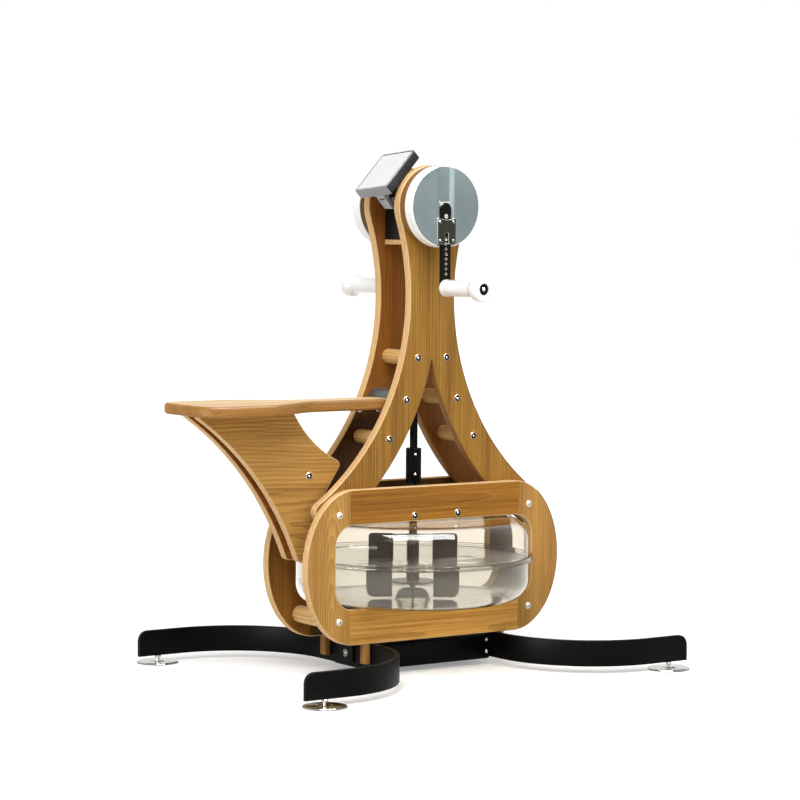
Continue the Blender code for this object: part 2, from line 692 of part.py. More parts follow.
# Gearbox
inner_y = INNER - FIT
gearbox = box("gearbox_housing", (2 * GEARBOX_HALF_X, 2 * inner_y, GEARBOX_TOP - GEARBOX_BOTTOM),
              (0, 0, (GEARBOX_TOP + GEARBOX_BOTTOM) / 2), bevel=0.004)
cavity_size = (2 * (GEARBOX_HALF_X - GEARBOX_WALL), 2 * (inner_y - GEARBOX_WALL),
               GEARBOX_TOP - GEARBOX_BOTTOM - 2 * GEARBOX_WALL)
boolean(gearbox, box("gearbox_cavity", cavity_size, (0, 0, (GEARBOX_TOP + GEARBOX_BOTTOM) / 2), CUTTERS))
boolean(gearbox, cylinder("gearbox_axle_bore", AXLE_R + 2 * FIT, 0.2, (0, 0, HUB_Z), "Y", CUTTERS, 20))
shaft_bore = cylinder("gearbox_shaft_bore", SHAFT_R + 2 * FIT, 4 * GEARBOX_WALL, (0, 0, GEARBOX_BOTTOM),
                      "Z", CUTTERS, 16)
boolean(gearbox, shaft_bore)
finish(gearbox, "black")

shelf_top = GEARBOX_BOTTOM - FIT
shelf = box("gearbox_shelf", (2 * GEARBOX_HALF_X, 2 * inner_y, SHELF_T), (0, 0, shelf_top - SHELF_T / 2),
            bevel=0.0015)
boolean(shelf, cylinder("shelf_bore", SHAFT_R + 8 * FIT, 0.1, (0, 0, shelf_top), "Z", CUTTERS, 16))
finish(shelf, "oak")

# bevel pair: the pitch cones meet where the two axes cross
ratio = GEAR_R / PINION_R
gear_back = PINION_R  # distance of the gear's outer pitch circle from the crossing
pinion_back = GEAR_R
slant = math.hypot(GEAR_R, PINION_R)
share = 1.0 - GEAR_FACE / slant
clear = 0.0006
axle_half = DISC_FACE - CHANNEL_DEPTH - 4 * DISC_T
axle_profile = [
    (0.0, axle_half), (AXLE_R - 0.001, axle_half), (AXLE_R, axle_half - 0.001),
    (AXLE_R, gear_back + 0.016), (0.020, gear_back + 0.016), (0.020, gear_back + 0.006),
    (GEAR_R - clear * 2, gear_back + 0.006), (GEAR_R - clear * 2, gear_back + clear),
    (GEAR_R * share, gear_back * share + clear), (AXLE_R, gear_back * share + clear),
    (AXLE_R, 0.001 - axle_half), (AXLE_R - 0.001, -axle_half), (0.0, -axle_half),
]
axle = turned("crank_axle", axle_profile, Matrix.Translation((0, 0, HUB_Z)) @ across(-1), 16)
finish(axle, "steel")
crank_joint = pivot("crank_axis", (0.0, 0.0, HUB_Z))
carry(axle, crank_joint)

pinion_top = HUB_Z - pinion_back * share - clear
shaft_profile = [
    (0.0, pinion_top), (PINION_R * share, pinion_top),
    (PINION_R - clear, HUB_Z - pinion_back - clear), (PINION_R - clear, HUB_Z - pinion_back - 0.006),
    (SHAFT_R, HUB_Z - pinion_back - 0.006), (SHAFT_R, SHAFT_JOINT_Z + 0.001),
    (SHAFT_R - 0.001, SHAFT_JOINT_Z), (0.0, SHAFT_JOINT_Z),
]
drive_shaft = finish(turned("drive_shaft", shaft_profile, Matrix(), 16), "black")
drive_joint = pivot("drive_axis", (0.0, 0.0, SHAFT_JOINT_Z))
carry(drive_shaft, drive_joint)


# Drums, discs and cranks
def drum(name, side):
    """White drum: a turned cup, open towards the panel, with a boss on the axle and a channel in its face."""
    web_back = DRUM_FACE - DRUM_WEB
    bore = AXLE_R + FIT
    profile = [
        (bore, DRUM_FACE), (DRUM_R - DRUM_EDGE, DRUM_FACE), (DRUM_R, DRUM_FACE - DRUM_EDGE),
        (DRUM_R, DRUM_BACK), (DRUM_R - DRUM_RIM, DRUM_BACK),
        (DRUM_R - DRUM_RIM, web_back), (DRUM_BOSS_R, web_back), (DRUM_BOSS_R, DRUM_BACK), (bore, DRUM_BACK),
    ]
    obj = turned(name, profile, Matrix.Translation((0, 0, HUB_Z)) @ across(side), 32, closed=True)
    floor = DISC_FACE - CHANNEL_DEPTH - DISC_T - FIT
    depth = 0.05
    groove = box(name + "_groove", (CHANNEL_W + 2 * DISC_T + 2 * FIT, depth, 4 * DRUM_R),
                 (0, side * (floor + depth / 2), HUB_Z), CUTTERS)
    boolean(obj, groove)
    return finish(obj, "white")


def face_disc(name, side):
    """Pressed disc: a thin round plate folded into a channel for the crank bar."""
    deep = CHANNEL_DEPTH + DISC_T
    obj = cylinder(name, DRUM_R - DISC_IN, deep, (0, side * (DISC_FACE - deep / 2), HUB_Z), "Y", steps=32)
    reach = 0.05
    behind = side * (DISC_FACE - DISC_T - reach / 2)
    for turn in (-1, 1):
        middle = turn * (CHANNEL_W / 2 + DISC_T + DRUM_R)
        relief_size = (2 * DRUM_R, reach, 4 * DRUM_R)
        relief = box(name + "_relief_%d" % turn, relief_size, (middle, behind, HUB_Z), CUTTERS)
        boolean(obj, relief)
    slot_y = side * (DISC_FACE - CHANNEL_DEPTH + reach)
    slot = box(name + "_slot", (CHANNEL_W, 2 * reach, 4 * DRUM_R), (0, slot_y, HUB_Z), CUTTERS)
    boolean(obj, slot)
    return finish(obj, "disc")


def crank_bar(name, side):
    """Flat bar with round ends, index holes and the spindle that carries the grip."""
    half = BAR_W / 2
    loop = arc(0, BAR_TOP - half, half, 0, 180, 8) + arc(0, GRIP_Z, half, 180, 360, 8)
    holes = [circle_points(0, GRIP_Z + HOLE_FIRST + HOLE_PITCH * k, HOLE_R, 6) for k in range(HOLE_COUNT)]
    obj = outline(name, [loop] + holes, BAR_T / 2 - 0.0001, upright(side * (BAR_BACK + BAR_T / 2)))
    end = GRIP_END_Y - 0.0035
    profile = [
        (0.0, end), (GRIP_CAP_R - 0.001, end), (GRIP_CAP_R, end - 0.001), (GRIP_CAP_R, end - 0.004),
        (SPINDLE_R, end - 0.004), (SPINDLE_R, BAR_BACK + BAR_T / 2), (0.0, BAR_BACK + BAR_T / 2),
    ]
    where = Matrix.Translation((0, 0, GRIP_Z)) @ across(side)
    spindle = turned(name + "_spindle", profile, where, 12, CUTTERS)
    boolean(obj, spindle, "UNION")
    return finish(obj, "black")


def grip(name, side):
    """White turned grip, free on its spindle, with a flared guard at the outer end."""
    bore = SPINDLE_R + FIT
    end = GRIP_END_Y
    flare = end - 0.044
    seat_cap = end - 0.0035 - 0.004 - FIT
    profile = [
        (bore, seat_cap), (GRIP_CAP_R + 0.0006, seat_cap), (GRIP_CAP_R + 0.0006, end),
        (GRIP_END_R * 0.75, end), (GRIP_END_R * 0.93, end - 0.002), (GRIP_END_R, end - 0.008),
        (GRIP_END_R, end - 0.020), (GRIP_END_R - 0.002, end - 0.024), (GRIP_R + 0.0015, flare + 0.003),
        (GRIP_R, flare - 0.003), (GRIP_R, GRIP_START + 0.012), (GRIP_INNER_R, GRIP_START + 0.006),
        (GRIP_INNER_R, GRIP_START), (bore, GRIP_START),
    ]
    obj = turned(name, profile, Matrix.Translation((0, 0, GRIP_Z)) @ across(side), 16, closed=True)
    return finish(obj, "white", 50.0)


def clamp_plate(name, side):
    """Cover plate over the bar: concave top edge and a notch that shows the index holes."""
    low, high = (HUB_Z - drop for drop in CLAMP_DROP)
    notch = HOLE_R * 1.9
    top = arc_between((CLAMP_HALF - 0.004, high), (-CLAMP_HALF + 0.004, high), 0.075, 6, side=1)
    top = [(x, 2 * high - z if z > high else z) for x, z in top]
    points = [(CLAMP_HALF, low + 0.003), (CLAMP_HALF, high - 0.003)] + top
    points += [(-CLAMP_HALF, high - 0.003), (-CLAMP_HALF, low + 0.003)]
    points += [(-CLAMP_HALF + 0.003, low), (-notch, low)]
    points += arc(0, low + 0.026, notch, 180, 0, 6)
    points += [(notch, low), (CLAMP_HALF - 0.003, low)]
    obj = outline(name, [points], CLAMP_T / 2, upright(side * (CLAMP_BACK + CLAMP_T / 2)))
    return finish(obj, "black")


for side, word in ((-1, "near"), (1, "far")):
    carry(drum("drum_" + word, side), crank_joint)
    carry(face_disc("face_disc_" + word, side), crank_joint)
    carry(clamp_plate("bar_clamp_" + word, side), crank_joint)
    bar_joint = pivot("bar_slide_" + word, (0.0, side * (BAR_BACK + BAR_T / 2), HUB_Z), crank_joint)
    carry(crank_bar("crank_bar_" + word, side), bar_joint)
    carry(grip("grip_" + word, side), bar_joint)


# Drive line and impeller
low, high = COUPLING_Z
bore = SHAFT_R + FIT
coupling_profile = [
    (bore, high), (COUPLING_R - 0.001, high), (COUPLING_R, high - 0.001), (COUPLING_R, low), (bore, low),
]
coupling = turned("shaft_coupling", coupling_profile, Matrix(), 16, closed=True)
finish(coupling, "black")
carry(coupling, drive_joint)

pivot_top = TANK_BOTTOM + PIVOT_BOSS_H
bottom, top = IMPELLER_Z
impeller_profile = [
    (0.0, SHAFT_JOINT_Z - FIT), (SHAFT_R, SHAFT_JOINT_Z - FIT), (SHAFT_R, top + 0.004),
    (IMPELLER_DISC_R, top), (IMPELLER_DISC_R, top - IMPELLER_DISC_T),
    (HUB_TUBE_R, top - IMPELLER_DISC_T), (HUB_TUBE_R, bottom + IMPELLER_DISC_T),
    (IMPELLER_DISC_R, bottom + IMPELLER_DISC_T), (IMPELLER_DISC_R, bottom),
    (PIVOT_R, pivot_top + 0.001), (PIVOT_R, pivot_top - PIVOT_DEPTH + FIT),
    (0.0, pivot_top - PIVOT_DEPTH + FIT),
]
impeller = turned("impeller", impeller_profile, Matrix(), 16)
blade_w = BLADE_OUT - BLADE_IN
for k in range(4):
    turn = Matrix.Rotation(math.radians(90 * k + BLADE_TURN), 4, "Z")
    corner = 0.014
    loop = [(BLADE_IN, bottom), (BLADE_OUT - corner, bottom), (BLADE_OUT, bottom + corner),
            (BLADE_OUT, top - corner), (BLADE_OUT - corner, top), (BLADE_IN, top)]
    blade = outline("blade_%d" % k, [loop], BLADE_T / 2, turn @ upright(0.0), CUTTERS)
    boolean(impeller, blade, "UNION")
finish(impeller, "smoke")
carry(impeller, drive_joint)


# Tank
def tank_half(upper):
    """Outer and inner profile of one half, from the axis out to the flange and back."""
    sign = 1 if upper else -1
    face = TANK_TOP if upper else TANK_BOTTOM
    corner = TANK_TOP_CORNER if upper else TANK_LOW_CORNER
    split = TANK_SPLIT + sign * FIT / 2
    cx, cz = TANK_R - corner, face - sign * corner
    outer = arc(cx, cz, corner, sign * 90.0, 0.0, 4)
    inner = arc(cx, cz, corner - TANK_WALL, 0.0, sign * 90.0, 3)
    flange = [(TANK_R, split + sign * FLANGE_T), (FLANGE_R, split + sign * FLANGE_T), (FLANGE_R, split),
              (TANK_R - TANK_WALL, split)]
    return outer, inner, flange


outer, inner, flange = tank_half(True)
neck = SHAFT_R + 0.006
collar = [(SHAFT_R + 4 * FIT, TANK_TOP + 0.004), (neck, TANK_TOP + 0.004), (neck, TANK_TOP)]
top_loop = collar + outer + flange + inner + [(SHAFT_R + 4 * FIT, TANK_TOP - TANK_WALL)]
finish(turned("tank_upper", top_loop, Matrix(), 30, closed=True), "tank", 50.0)

outer, inner, flange = tank_half(False)
floor = TANK_BOTTOM + TANK_WALL
pivot_bore = PIVOT_R + 2 * FIT
boss = [(0.0, pivot_top - PIVOT_DEPTH), (pivot_bore, pivot_top - PIVOT_DEPTH), (pivot_bore, pivot_top),
        (PIVOT_BOSS_R * 0.55, pivot_top), (PIVOT_BOSS_R * 0.85, pivot_top - 0.008), (PIVOT_BOSS_R, floor)]
low_loop = boss + list(reversed(inner)) + list(reversed(flange)) + list(reversed(outer))
low_loop += [(0.0, TANK_BOTTOM)]
finish(turned("tank_lower", low_loop, Matrix(), 30), "tank", 50.0)


# Display
tilt = math.radians(DISPLAY_TILT)
twist = math.radians(DISPLAY_TWIST)
across_dir = Vector((0.0, -1.0, 0.0))
slope_dir = Vector((math.sin(tilt), 0.0, math.cos(tilt)))
normal = across_dir.cross(slope_dir)
centre = Vector((DISPLAY_FROM_HUB[0], 0.0, HUB_Z + DISPLAY_FROM_HUB[1]))
face_across = across_dir * math.cos(twist) + slope_dir * math.sin(twist)
face_slope = slope_dir * math.cos(twist) - across_dir * math.sin(twist)


def frame_at(origin, x, y, z):
    return Matrix((
        (x.x, y.x, z.x, origin.x), (x.y, y.y, z.y, origin.y), (x.z, y.z, z.z, origin.z), (0, 0, 0, 1),
    ))


hinge = centre - normal * (DISPLAY_T / 2 + HINGE_BACK) - slope_dir * HINGE_DROP
swivel = hinge + normal * HINGE_BACK
tilt_joint = pivot("display_tilt_axis", hinge)
swivel_joint = pivot("display_swivel_axis", swivel, tilt_joint)
display_frame = frame_at(centre, face_across, face_slope, normal)
housing = box("display_housing", (DISPLAY_W, DISPLAY_L, DISPLAY_T), (0, 0, 0), bevel=0.003,
              matrix=display_frame)
pocket_w = DISPLAY_W - 2 * SCREEN_BORDER
pocket_l = DISPLAY_L - 2 * SCREEN_BORDER
pocket = box("screen_pocket", (pocket_w, pocket_l, 2 * (SCREEN_T + FIT)), (0, 0, 0), CUTTERS,
             matrix=display_frame @ Matrix.Translation((0, 0, DISPLAY_T / 2)))
boolean(housing, pocket)
finish(housing, "black")
carry(housing, swivel_joint)
screen = box("display_screen", (pocket_w - 2 * FIT, pocket_l - 2 * FIT, SCREEN_T), (0, 0, 0),
             matrix=display_frame @ Matrix.Translation((0, 0, DISPLAY_T / 2 - SCREEN_T / 2)))
finish(screen, "screen")
carry(screen, swivel_joint)

# knuckle: a round foot on the display's back and a lug round the hinge pin
hinge_frame = frame_at(hinge, slope_dir, normal, across_dir)
lug_top = HINGE_BACK - 0.003
lug_loop = arc(0, 0, KNUCKLE_R, 180, 360, 8) + [(KNUCKLE_R, lug_top), (-KNUCKLE_R, lug_top)]
knuckle = outline("display_knuckle", [lug_loop], KNUCKLE_W / 2, hinge_frame)
foot_frame = frame_at(hinge + normal * (HINGE_BACK - 0.0025 - FIT), slope_dir, -across_dir, normal)
foot_disc = cylinder("knuckle_foot", 0.017, 0.005, (0, 0, 0), "Z", CUTTERS, 16)
foot_disc.matrix_basis = foot_frame
boolean(knuckle, foot_disc, "UNION")
pin_hole = cylinder("knuckle_pin_hole", PIN_R + FIT, 0.1, hinge, "Y", CUTTERS, 12)
boolean(knuckle, pin_hole)
finish(knuckle, "grey")
carry(knuckle, tilt_joint)

# bracket: flange on the gearbox's front, a foot, an arm up to two ears, and the pin
front_x = -GEARBOX_HALF_X - FIT
ear_in = KNUCKLE_W / 2 + FIT
bend_x, bend_z = ARM_BEND[0], HUB_Z + ARM_BEND[1]
side_loop = [
    (front_x, bend_z), (front_x, bend_z + ARM_FLANGE_H), (front_x - ARM_T, bend_z + ARM_FLANGE_H),
    (front_x - ARM_T, bend_z + ARM_T), (bend_x + ARM_T, bend_z + ARM_T),
]
side_loop += arc(hinge.x, hinge.z, KNUCKLE_R + 0.0005, 20, 215, 10)
side_loop += [(bend_x, bend_z)]
bracket = outline("display_bracket", [side_loop], ear_in + EAR_T, upright(0.0))
lug_room = box("bracket_slot", (0.044, 2 * ear_in, 0.044), (0, 0, 0), CUTTERS,
               matrix=frame_at(hinge + normal * 0.008, slope_dir, -across_dir, normal))
boolean(bracket, lug_room)
pin = cylinder("bracket_pin", PIN_R, 2 * (ear_in + EAR_T) - 0.001, hinge, "Y", CUTTERS, 12)
boolean(bracket, pin, "UNION")
finish(bracket, "grey")


# Base
def strip_path():
    """Centre line of one strip from its near end to its far end, with the distance to the nearer end."""
    quarter = arc(STRIP_CX, STRIP_STRAIGHT, STRIP_R, 90, 180, 8)
    near_end = [STRIP_END_X - STRIP_END_R * (1 - math.cos(math.radians(a))) for a in (0, 30, 60, 90)]
    upper = [(x, FOOT_Y) for x in near_end] + quarter
    lower = [(x, -y) for x, y in reversed(upper)]
    return upper + lower


def strip_top(x, y):
    """The upper end corners are rounded."""
    reach = STRIP_END_X - x
    if reach >= STRIP_END_R:
        return STRIP_TOP
    return STRIP_TOP - STRIP_END_R + math.sqrt(max(STRIP_END_R ** 2 - (STRIP_END_R - reach) ** 2, 0.0))


def base_strip(name, side):
    mesh = bpy.data.meshes.new(name)
    bm = bmesh.new()
    path = strip_path()
    low_row = [bm.verts.new((side * x, y, STRIP_BOTTOM)) for x, y in path]
    top_row = [bm.verts.new((side * x, y, strip_top(x, y))) for x, y in path]
    for k in range(len(path) - 1):
        quad = (low_row[k], low_row[k + 1], top_row[k + 1], top_row[k])
        bm.faces.new(quad if side < 0 else quad[::-1])
    bm.to_mesh(mesh)
    bm.free()
    obj = place(mesh, name)
    mod = obj.modifiers.new("thickness", "SOLIDIFY")
    mod.thickness = STRIP_T
    mod.offset = 0.0
    mod.use_even_offset = True
    add_bevel(obj, 0.0015)
    holes = [(side * FOOT_X, FOOT_Y), (side * FOOT_X, -FOOT_Y)]
    cut_holes(obj, holes, STUD_R + FIT, "Z", 2 * (STUD_TOP - STRIP_BOTTOM + 0.012), STRIP_BOTTOM, 12)
    return finish(obj, "black")


base_strip("base_strip_left", -1)
base_strip("base_strip_right", 1)

beam_half = STRIP_MID_X - STRIP_T / 2 - FIT
low, high = BEAM_Z
beam = box("base_beam", (2 * beam_half, 2 * BEAM_HALF_Y, high - low), (0, 0, (low + high) / 2), bevel=0.003)
boolean(beam, box("beam_hollow", (1.0, 2 * (BEAM_HALF_Y - BEAM_WALL), high - low - 2 * BEAM_WALL),
                  (0, 0, (low + high) / 2), CUTTERS))
finish(beam, "black")

for side, word in ((-1, "left"), (1, "right")):
    face = STRIP_MID_X + STRIP_T / 2 + FIT
    plate = box("end_plate_" + word, (END_PLATE[2], END_PLATE[0], END_PLATE[1]),
                (side * (face + END_PLATE[2] / 2), 0, END_PLATE_Z), bevel=0.001)
    finish(plate, "black")
    for turn, where in ((-1, "near"), (1, "far")):
        height = OBLONG_BOTTOM - FIT - BLOCK_BOTTOM
        at = (side * (face + BLOCK_X / 2), turn * (OBLONG_IN + OBLONG_T / 2), BLOCK_BOTTOM + height / 2)
        block = box("mount_block_%s_%s" % (word, where), (BLOCK_X, OBLONG_T, height), at)
        finish(block, "oak")

foot_profile = [
    (0.0, STUD_TOP), (STUD_R, STUD_TOP), (STUD_R, PAD_T + 0.0065), (0.0090, PAD_T + 0.0060),
    (0.0110, PAD_T + 0.0030), (PAD_R - 0.0015, PAD_T), (PAD_R, PAD_T - 0.0015), (PAD_R, 0.0), (0.0, 0.0),
]
for sx, word in ((-1, "left"), (1, "right")):
    for sy, where in ((-1, "near"), (1, "far")):
        name = "foot_%s_%s" % (word, where)
        finish(turned(name, foot_profile, Matrix.Translation((sx * FOOT_X, sy * FOOT_Y, 0)), 16), "chrome")
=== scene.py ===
# Water grinder ergometer: the looks of the oak frame, the crank head, the water tank and the steel base.
# Every shape is worked out from the drive shaft's upright axis, in metres, and put in place in its mesh.
import math

import bmesh
import bpy
import numpy as np
from mathutils import Matrix, Vector
from mathutils.geometry import tessellate_polygon


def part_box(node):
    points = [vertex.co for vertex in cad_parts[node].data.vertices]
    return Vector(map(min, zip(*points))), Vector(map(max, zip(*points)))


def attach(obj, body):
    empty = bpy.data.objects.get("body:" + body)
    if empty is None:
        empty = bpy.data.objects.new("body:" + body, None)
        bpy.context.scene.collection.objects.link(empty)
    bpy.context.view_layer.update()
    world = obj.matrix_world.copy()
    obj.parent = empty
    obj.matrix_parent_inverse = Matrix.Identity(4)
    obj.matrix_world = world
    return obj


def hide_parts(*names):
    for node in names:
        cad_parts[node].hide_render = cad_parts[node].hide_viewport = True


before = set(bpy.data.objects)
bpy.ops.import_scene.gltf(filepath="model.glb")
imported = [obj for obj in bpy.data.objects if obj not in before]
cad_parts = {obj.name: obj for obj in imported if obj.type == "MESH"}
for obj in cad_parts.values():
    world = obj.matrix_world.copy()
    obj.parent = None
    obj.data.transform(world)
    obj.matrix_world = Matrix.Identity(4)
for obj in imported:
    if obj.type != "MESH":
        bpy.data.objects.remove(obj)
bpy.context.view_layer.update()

axisX = 0.054  # where the drive shaft's axis stands in the frame
fit = 0.0003   # clearance between pieces that touch
sides = ((-1, "near"), (1, "far"))
ends = ((-1, "left"), (1, "right"))
flat = dict(u=(1, 0, 0), v=(0, 1, 0), w=(0, 0, 1))      # plates that lie level
facingX = dict(u=(0, 1, 0), v=(0, 0, 1), w=(1, 0, 0))   # plates that face along X

studio = {
    "cameraAt": (-4.1223, -5.9877, 1.1662), "heading": 34.6057, "dip": 3.5843, "roll": 0.3718, "lens": 124.25,
    "worldLight": 0.56, "floorColour": (0.80, 0.7936, 0.78, 1.0), "floorLift": 0.28, "floorHalf": 60.0,
}
# suns: strength, where they shine from and their spread in degrees
suns = {"key": (2.45, (-0.55, -0.60, 1.0), 38.0), "fill": (0.45, (0.75, -0.35, 0.45), 60.0)}
# soft boxes that show only as reflections: where, the point they face, width, height and brightness
softBoxes = {"over": ((-0.26, -0.85, 2.35), (0.0, -0.10, 0.40), 1.9, 1.3, 72.0),
             "side": ((-2.45, -0.25, 0.52), (0.0, -0.15, 0.38), 1.5, 0.5, 25.0)}
white = (1.0, 1.0, 1.0, 1.0)


def aimCamera(s):
    # The view direction turns by the heading and dips; right and up are then rolled about it.
    yaw, dip, roll = (math.radians(s[k]) for k in ("heading", "dip", "roll"))
    forward = Vector((math.sin(yaw) * math.cos(dip), math.cos(yaw) * math.cos(dip), -math.sin(dip)))
    right = Vector((math.cos(yaw), -math.sin(yaw), 0.0))
    up = right.cross(forward)
    right, up = math.cos(roll) * right + math.sin(roll) * up, -math.sin(roll) * right + math.cos(roll) * up
    data = bpy.data.cameras.new("camera")
    data.lens, data.sensor_width, data.clip_end = s["lens"], 36.0, 100.0
    camera = bpy.data.objects.new("camera", data)
    bpy.context.scene.collection.objects.link(camera)
    place = Matrix((right, up, -forward)).transposed().to_4x4()
    place.translation = s["cameraAt"]
    camera.matrix_world = place
    bpy.context.scene.camera = camera


def addLamp(name, kind, energy, backwards, **settings):
    # A lamp that shines away from the direction backwards.
    data = bpy.data.lights.new(name, kind)
    data.energy = energy
    for key, value in settings.items():
        setattr(data, key, value)
    lamp = bpy.data.objects.new(name, data)
    bpy.context.scene.collection.objects.link(lamp)
    lamp.rotation_euler = Vector(backwards).to_track_quat("Z", "Y").to_euler()
    return lamp


def feed(tree, node, inputs):
    # Each input takes a value, or the output that is linked to it.
    for key, value in inputs.items():
        if isinstance(value, bpy.types.NodeSocket):
            tree.links.new(value, node.inputs[key])
        else:
            node.inputs[key].default_value = value


def addNode(tree, kind, inputs, **settings):
    # A shader node with its settings and inputs in one line.
    made = tree.nodes.new("ShaderNode" + kind)
    for key, value in settings.items():
        setattr(made, key, value)
    feed(tree, made, inputs)
    return made


def seenDirectly(tree):
    # 1 for rays from the camera, off glossy surfaces or through glass, and 0 for the rest.
    rays = addNode(tree, "LightPath", {}).outputs
    first = addNode(tree, "Math", {0: rays["Is Camera Ray"], 1: rays["Is Glossy Ray"]}, operation="MAXIMUM")
    both = addNode(tree, "Math", {0: first.outputs[0], 1: rays["Is Transmission Ray"]}, operation="MAXIMUM")
    return both.outputs[0]


def lightStudio(s):
    scene = bpy.context.scene
    scene.view_settings.view_transform = "Standard"
    world = bpy.data.worlds.new("studio")
    scene.world = world
    world.use_nodes = True
    tree = world.node_tree
    strength = addNode(tree, "MapRange", {"Value": seenDirectly(tree), "To Min": s["worldLight"], "To Max": 1.0})
    feed(tree, tree.nodes["Background"], {"Color": white, "Strength": strength.outputs["Result"]})
    for name, (energy, backwards, spread) in suns.items():
        addLamp(name, "SUN", energy, backwards, angle=math.radians(spread)).visible_glossy = False
    for name, (at, towards, width, height, brightness) in softBoxes.items():
        lamp = addLamp(name, "AREA", brightness * math.pi * width * height, Vector(at) - Vector(towards),
                       shape="RECTANGLE", size=width, size_y=height)
        lamp.location = at
        lamp.visible_diffuse = lamp.visible_camera = lamp.visible_transmission = False

    # Floor: a pale sheet that keeps the shadow; what the camera sees is lifted to white where it is fully lit.
    mesh = bpy.data.meshes.new("floor")
    half = s["floorHalf"]
    mesh.from_pydata([(-half, -half, 0), (half, -half, 0), (half, half, 0), (-half, half, 0)], [], [(0, 1, 2, 3)])
    floor = bpy.data.objects.new("floor", mesh)
    scene.collection.objects.link(floor)
    mat, tree, shader = startFinish("floorPaper")
    tree.nodes.remove(shader)
    paper = addNode(tree, "BsdfDiffuse", {"Color": s["floorColour"]})
    lift = addNode(tree, "Math", {0: seenDirectly(tree), 1: s["floorLift"]}, operation="MULTIPLY")
    glow = addNode(tree, "Emission", {"Color": white, "Strength": lift.outputs[0]})
    both = addNode(tree, "AddShader", {0: paper.outputs[0], 1: glow.outputs[0]})
    feed(tree, tree.nodes["Material Output"], {"Surface": both.outputs[0]})
    mesh.materials.append(mat)


def startFinish(name):
    # A new material with its node tree and its shader.
    mat = bpy.data.materials.new(name)
    mat.use_nodes = True
    return mat, mat.node_tree, mat.node_tree.nodes["Principled BSDF"]


aimCamera(studio)
lightStudio(studio)
print("camera, floor and lights set")


def rgba(colour, factor=1.0):
    return (colour[0] * factor, colour[1] * factor, colour[2] * factor, 1.0)


def mixTones(tree, share, first, second):
    return addNode(tree, "Mix", {6: first, 7: second, "Factor": share}, data_type="RGBA").outputs[2]


def oakFinish(name, light, dark, grain, pith, shift, ringPitch=0.0075, contrast=1.0, figure=0.034, lean=0.0,
              ringShare=0.34, streakShare=0.42, shade=None):
    # Growth rings are a warped saw wave round the pith, which lies along the grain off to one side of the board.
    # Noise drawn out along the grain gives streaks and pores, and slow noise the tone of each stave.
    # Share of dark wood = 0.5 + contrast * the sum of weight * (part - 0.5).
    mat, tree, shader = startFinish(name)
    place = addNode(tree, "TexCoord", {}).outputs["Object"]
    turn = {"x": (0.0, 0.0, 0.0), "y": (0.0, 0.0, math.radians(90)), "z": (0.0, math.radians(90), 0.0)}[grain]
    along = addNode(tree, "Mapping", {"Vector": place, "Rotation": turn, "Location": shift}).outputs[0]

    def drawnNoise(scale, detail, at=(0.0, 0.0, 0.0)):
        drawn = addNode(tree, "Mapping", {"Vector": along, "Scale": scale, "Location": at})
        return addNode(tree, "TexNoise", {"Vector": drawn.outputs[0], "Scale": 1.0, "Detail": detail,
                                          "Roughness": 0.55}).outputs

    def part(low, high, *noise):
        inputs = {"Value": drawnNoise(*noise)["Fac"], "From Min": low, "From Max": high}
        return addNode(tree, "MapRange", inputs).outputs[0]

    sway = drawnNoise((1.3, 6.0, 6.0), 2.0)["Color"]
    bend = addNode(tree, "VectorMath", {0: sway, 1: (0.5, 0.5, 0.5)}, operation="SUBTRACT")
    push = addNode(tree, "VectorMath", {0: bend.outputs[0], 1: (0.0, figure, figure)}, operation="MULTIPLY")
    heart = addNode(tree, "Mapping", {"Vector": along, "Location": pith, "Rotation": (0.0, 0.0, math.radians(lean))})
    warped = addNode(tree, "VectorMath", {0: heart.outputs[0], 1: push.outputs[0]}, operation="ADD")
    rings = addNode(tree, "TexWave", {"Vector": warped.outputs[0], "Scale": 0.314 / ringPitch, "Distortion": 0.9,
                                      "Detail": 2.0, "Detail Scale": 0.8, "Detail Roughness": 0.6},
                    wave_type="RINGS", rings_direction="X", wave_profile="SAW")
    parts = [(ringShare, rings.outputs["Fac"]), (streakShare, part(0.32, 0.68, (2.2, 175.0, 175.0), 3.0)),
             (0.20, part(0.36, 0.64, (16.0, 560.0, 560.0), 2.0, (0.7, 2.0, 1.0))),
             (0.34, part(0.34, 0.66, (0.8, 15.0, 15.0), 2.0, (3.1, 1.7, 0.4)))]
    total = 0.5 - contrast * sum(weight for weight, share in parts) / 2
    for weight, share in parts:
        total = addNode(tree, "Math", {0: share, 1: weight * contrast, 2: total}, operation="MULTIPLY_ADD",
                        use_clamp=share is parts[-1][1]).outputs[0]
    ramp = addNode(tree, "ValToRGB", {"Fac": total})
    for stop, position, tone in zip(ramp.color_ramp.elements, (0.05, 0.95), (light, dark)):
        stop.position, stop.color = position, rgba(tone)
    colour = ramp.outputs["Color"]
    if shade:
        # Painted shade: darker below a height, except towards the right; factor = the larger of a step in z and a step
        # in x.
        low, high, left, right = shade
        split = addNode(tree, "SeparateXYZ", {0: place}).outputs
        byZ = addNode(tree, "MapRange", {"Value": split["Z"], "From Min": low, "From Max": high, "To Min": left})
        byX = addNode(tree, "MapRange", {"Value": split["X"], "From Min": 0.03, "From Max": 0.13, "To Max": right})
        larger = addNode(tree, "Math", {0: byZ.outputs[0], 1: byX.outputs[0]}, operation="MAXIMUM")
        colour = mixTones(tree, larger.outputs[0], rgba(dark, 0.22), colour)
    sheen = addNode(tree, "MapRange", {"Value": total, "To Min": 0.38, "To Max": 0.55})
    relief = addNode(tree, "Bump", {"Height": total, "Strength": 0.25, "Distance": 0.0003}, invert=True)
    feed(tree, shader, {"Base Color": colour, "Roughness": sheen.outputs[0], "Normal": relief.outputs[0],
                        "Specular IOR Level": 0.10, "Coat Weight": 0.01, "Coat Roughness": 0.22})
    return mat


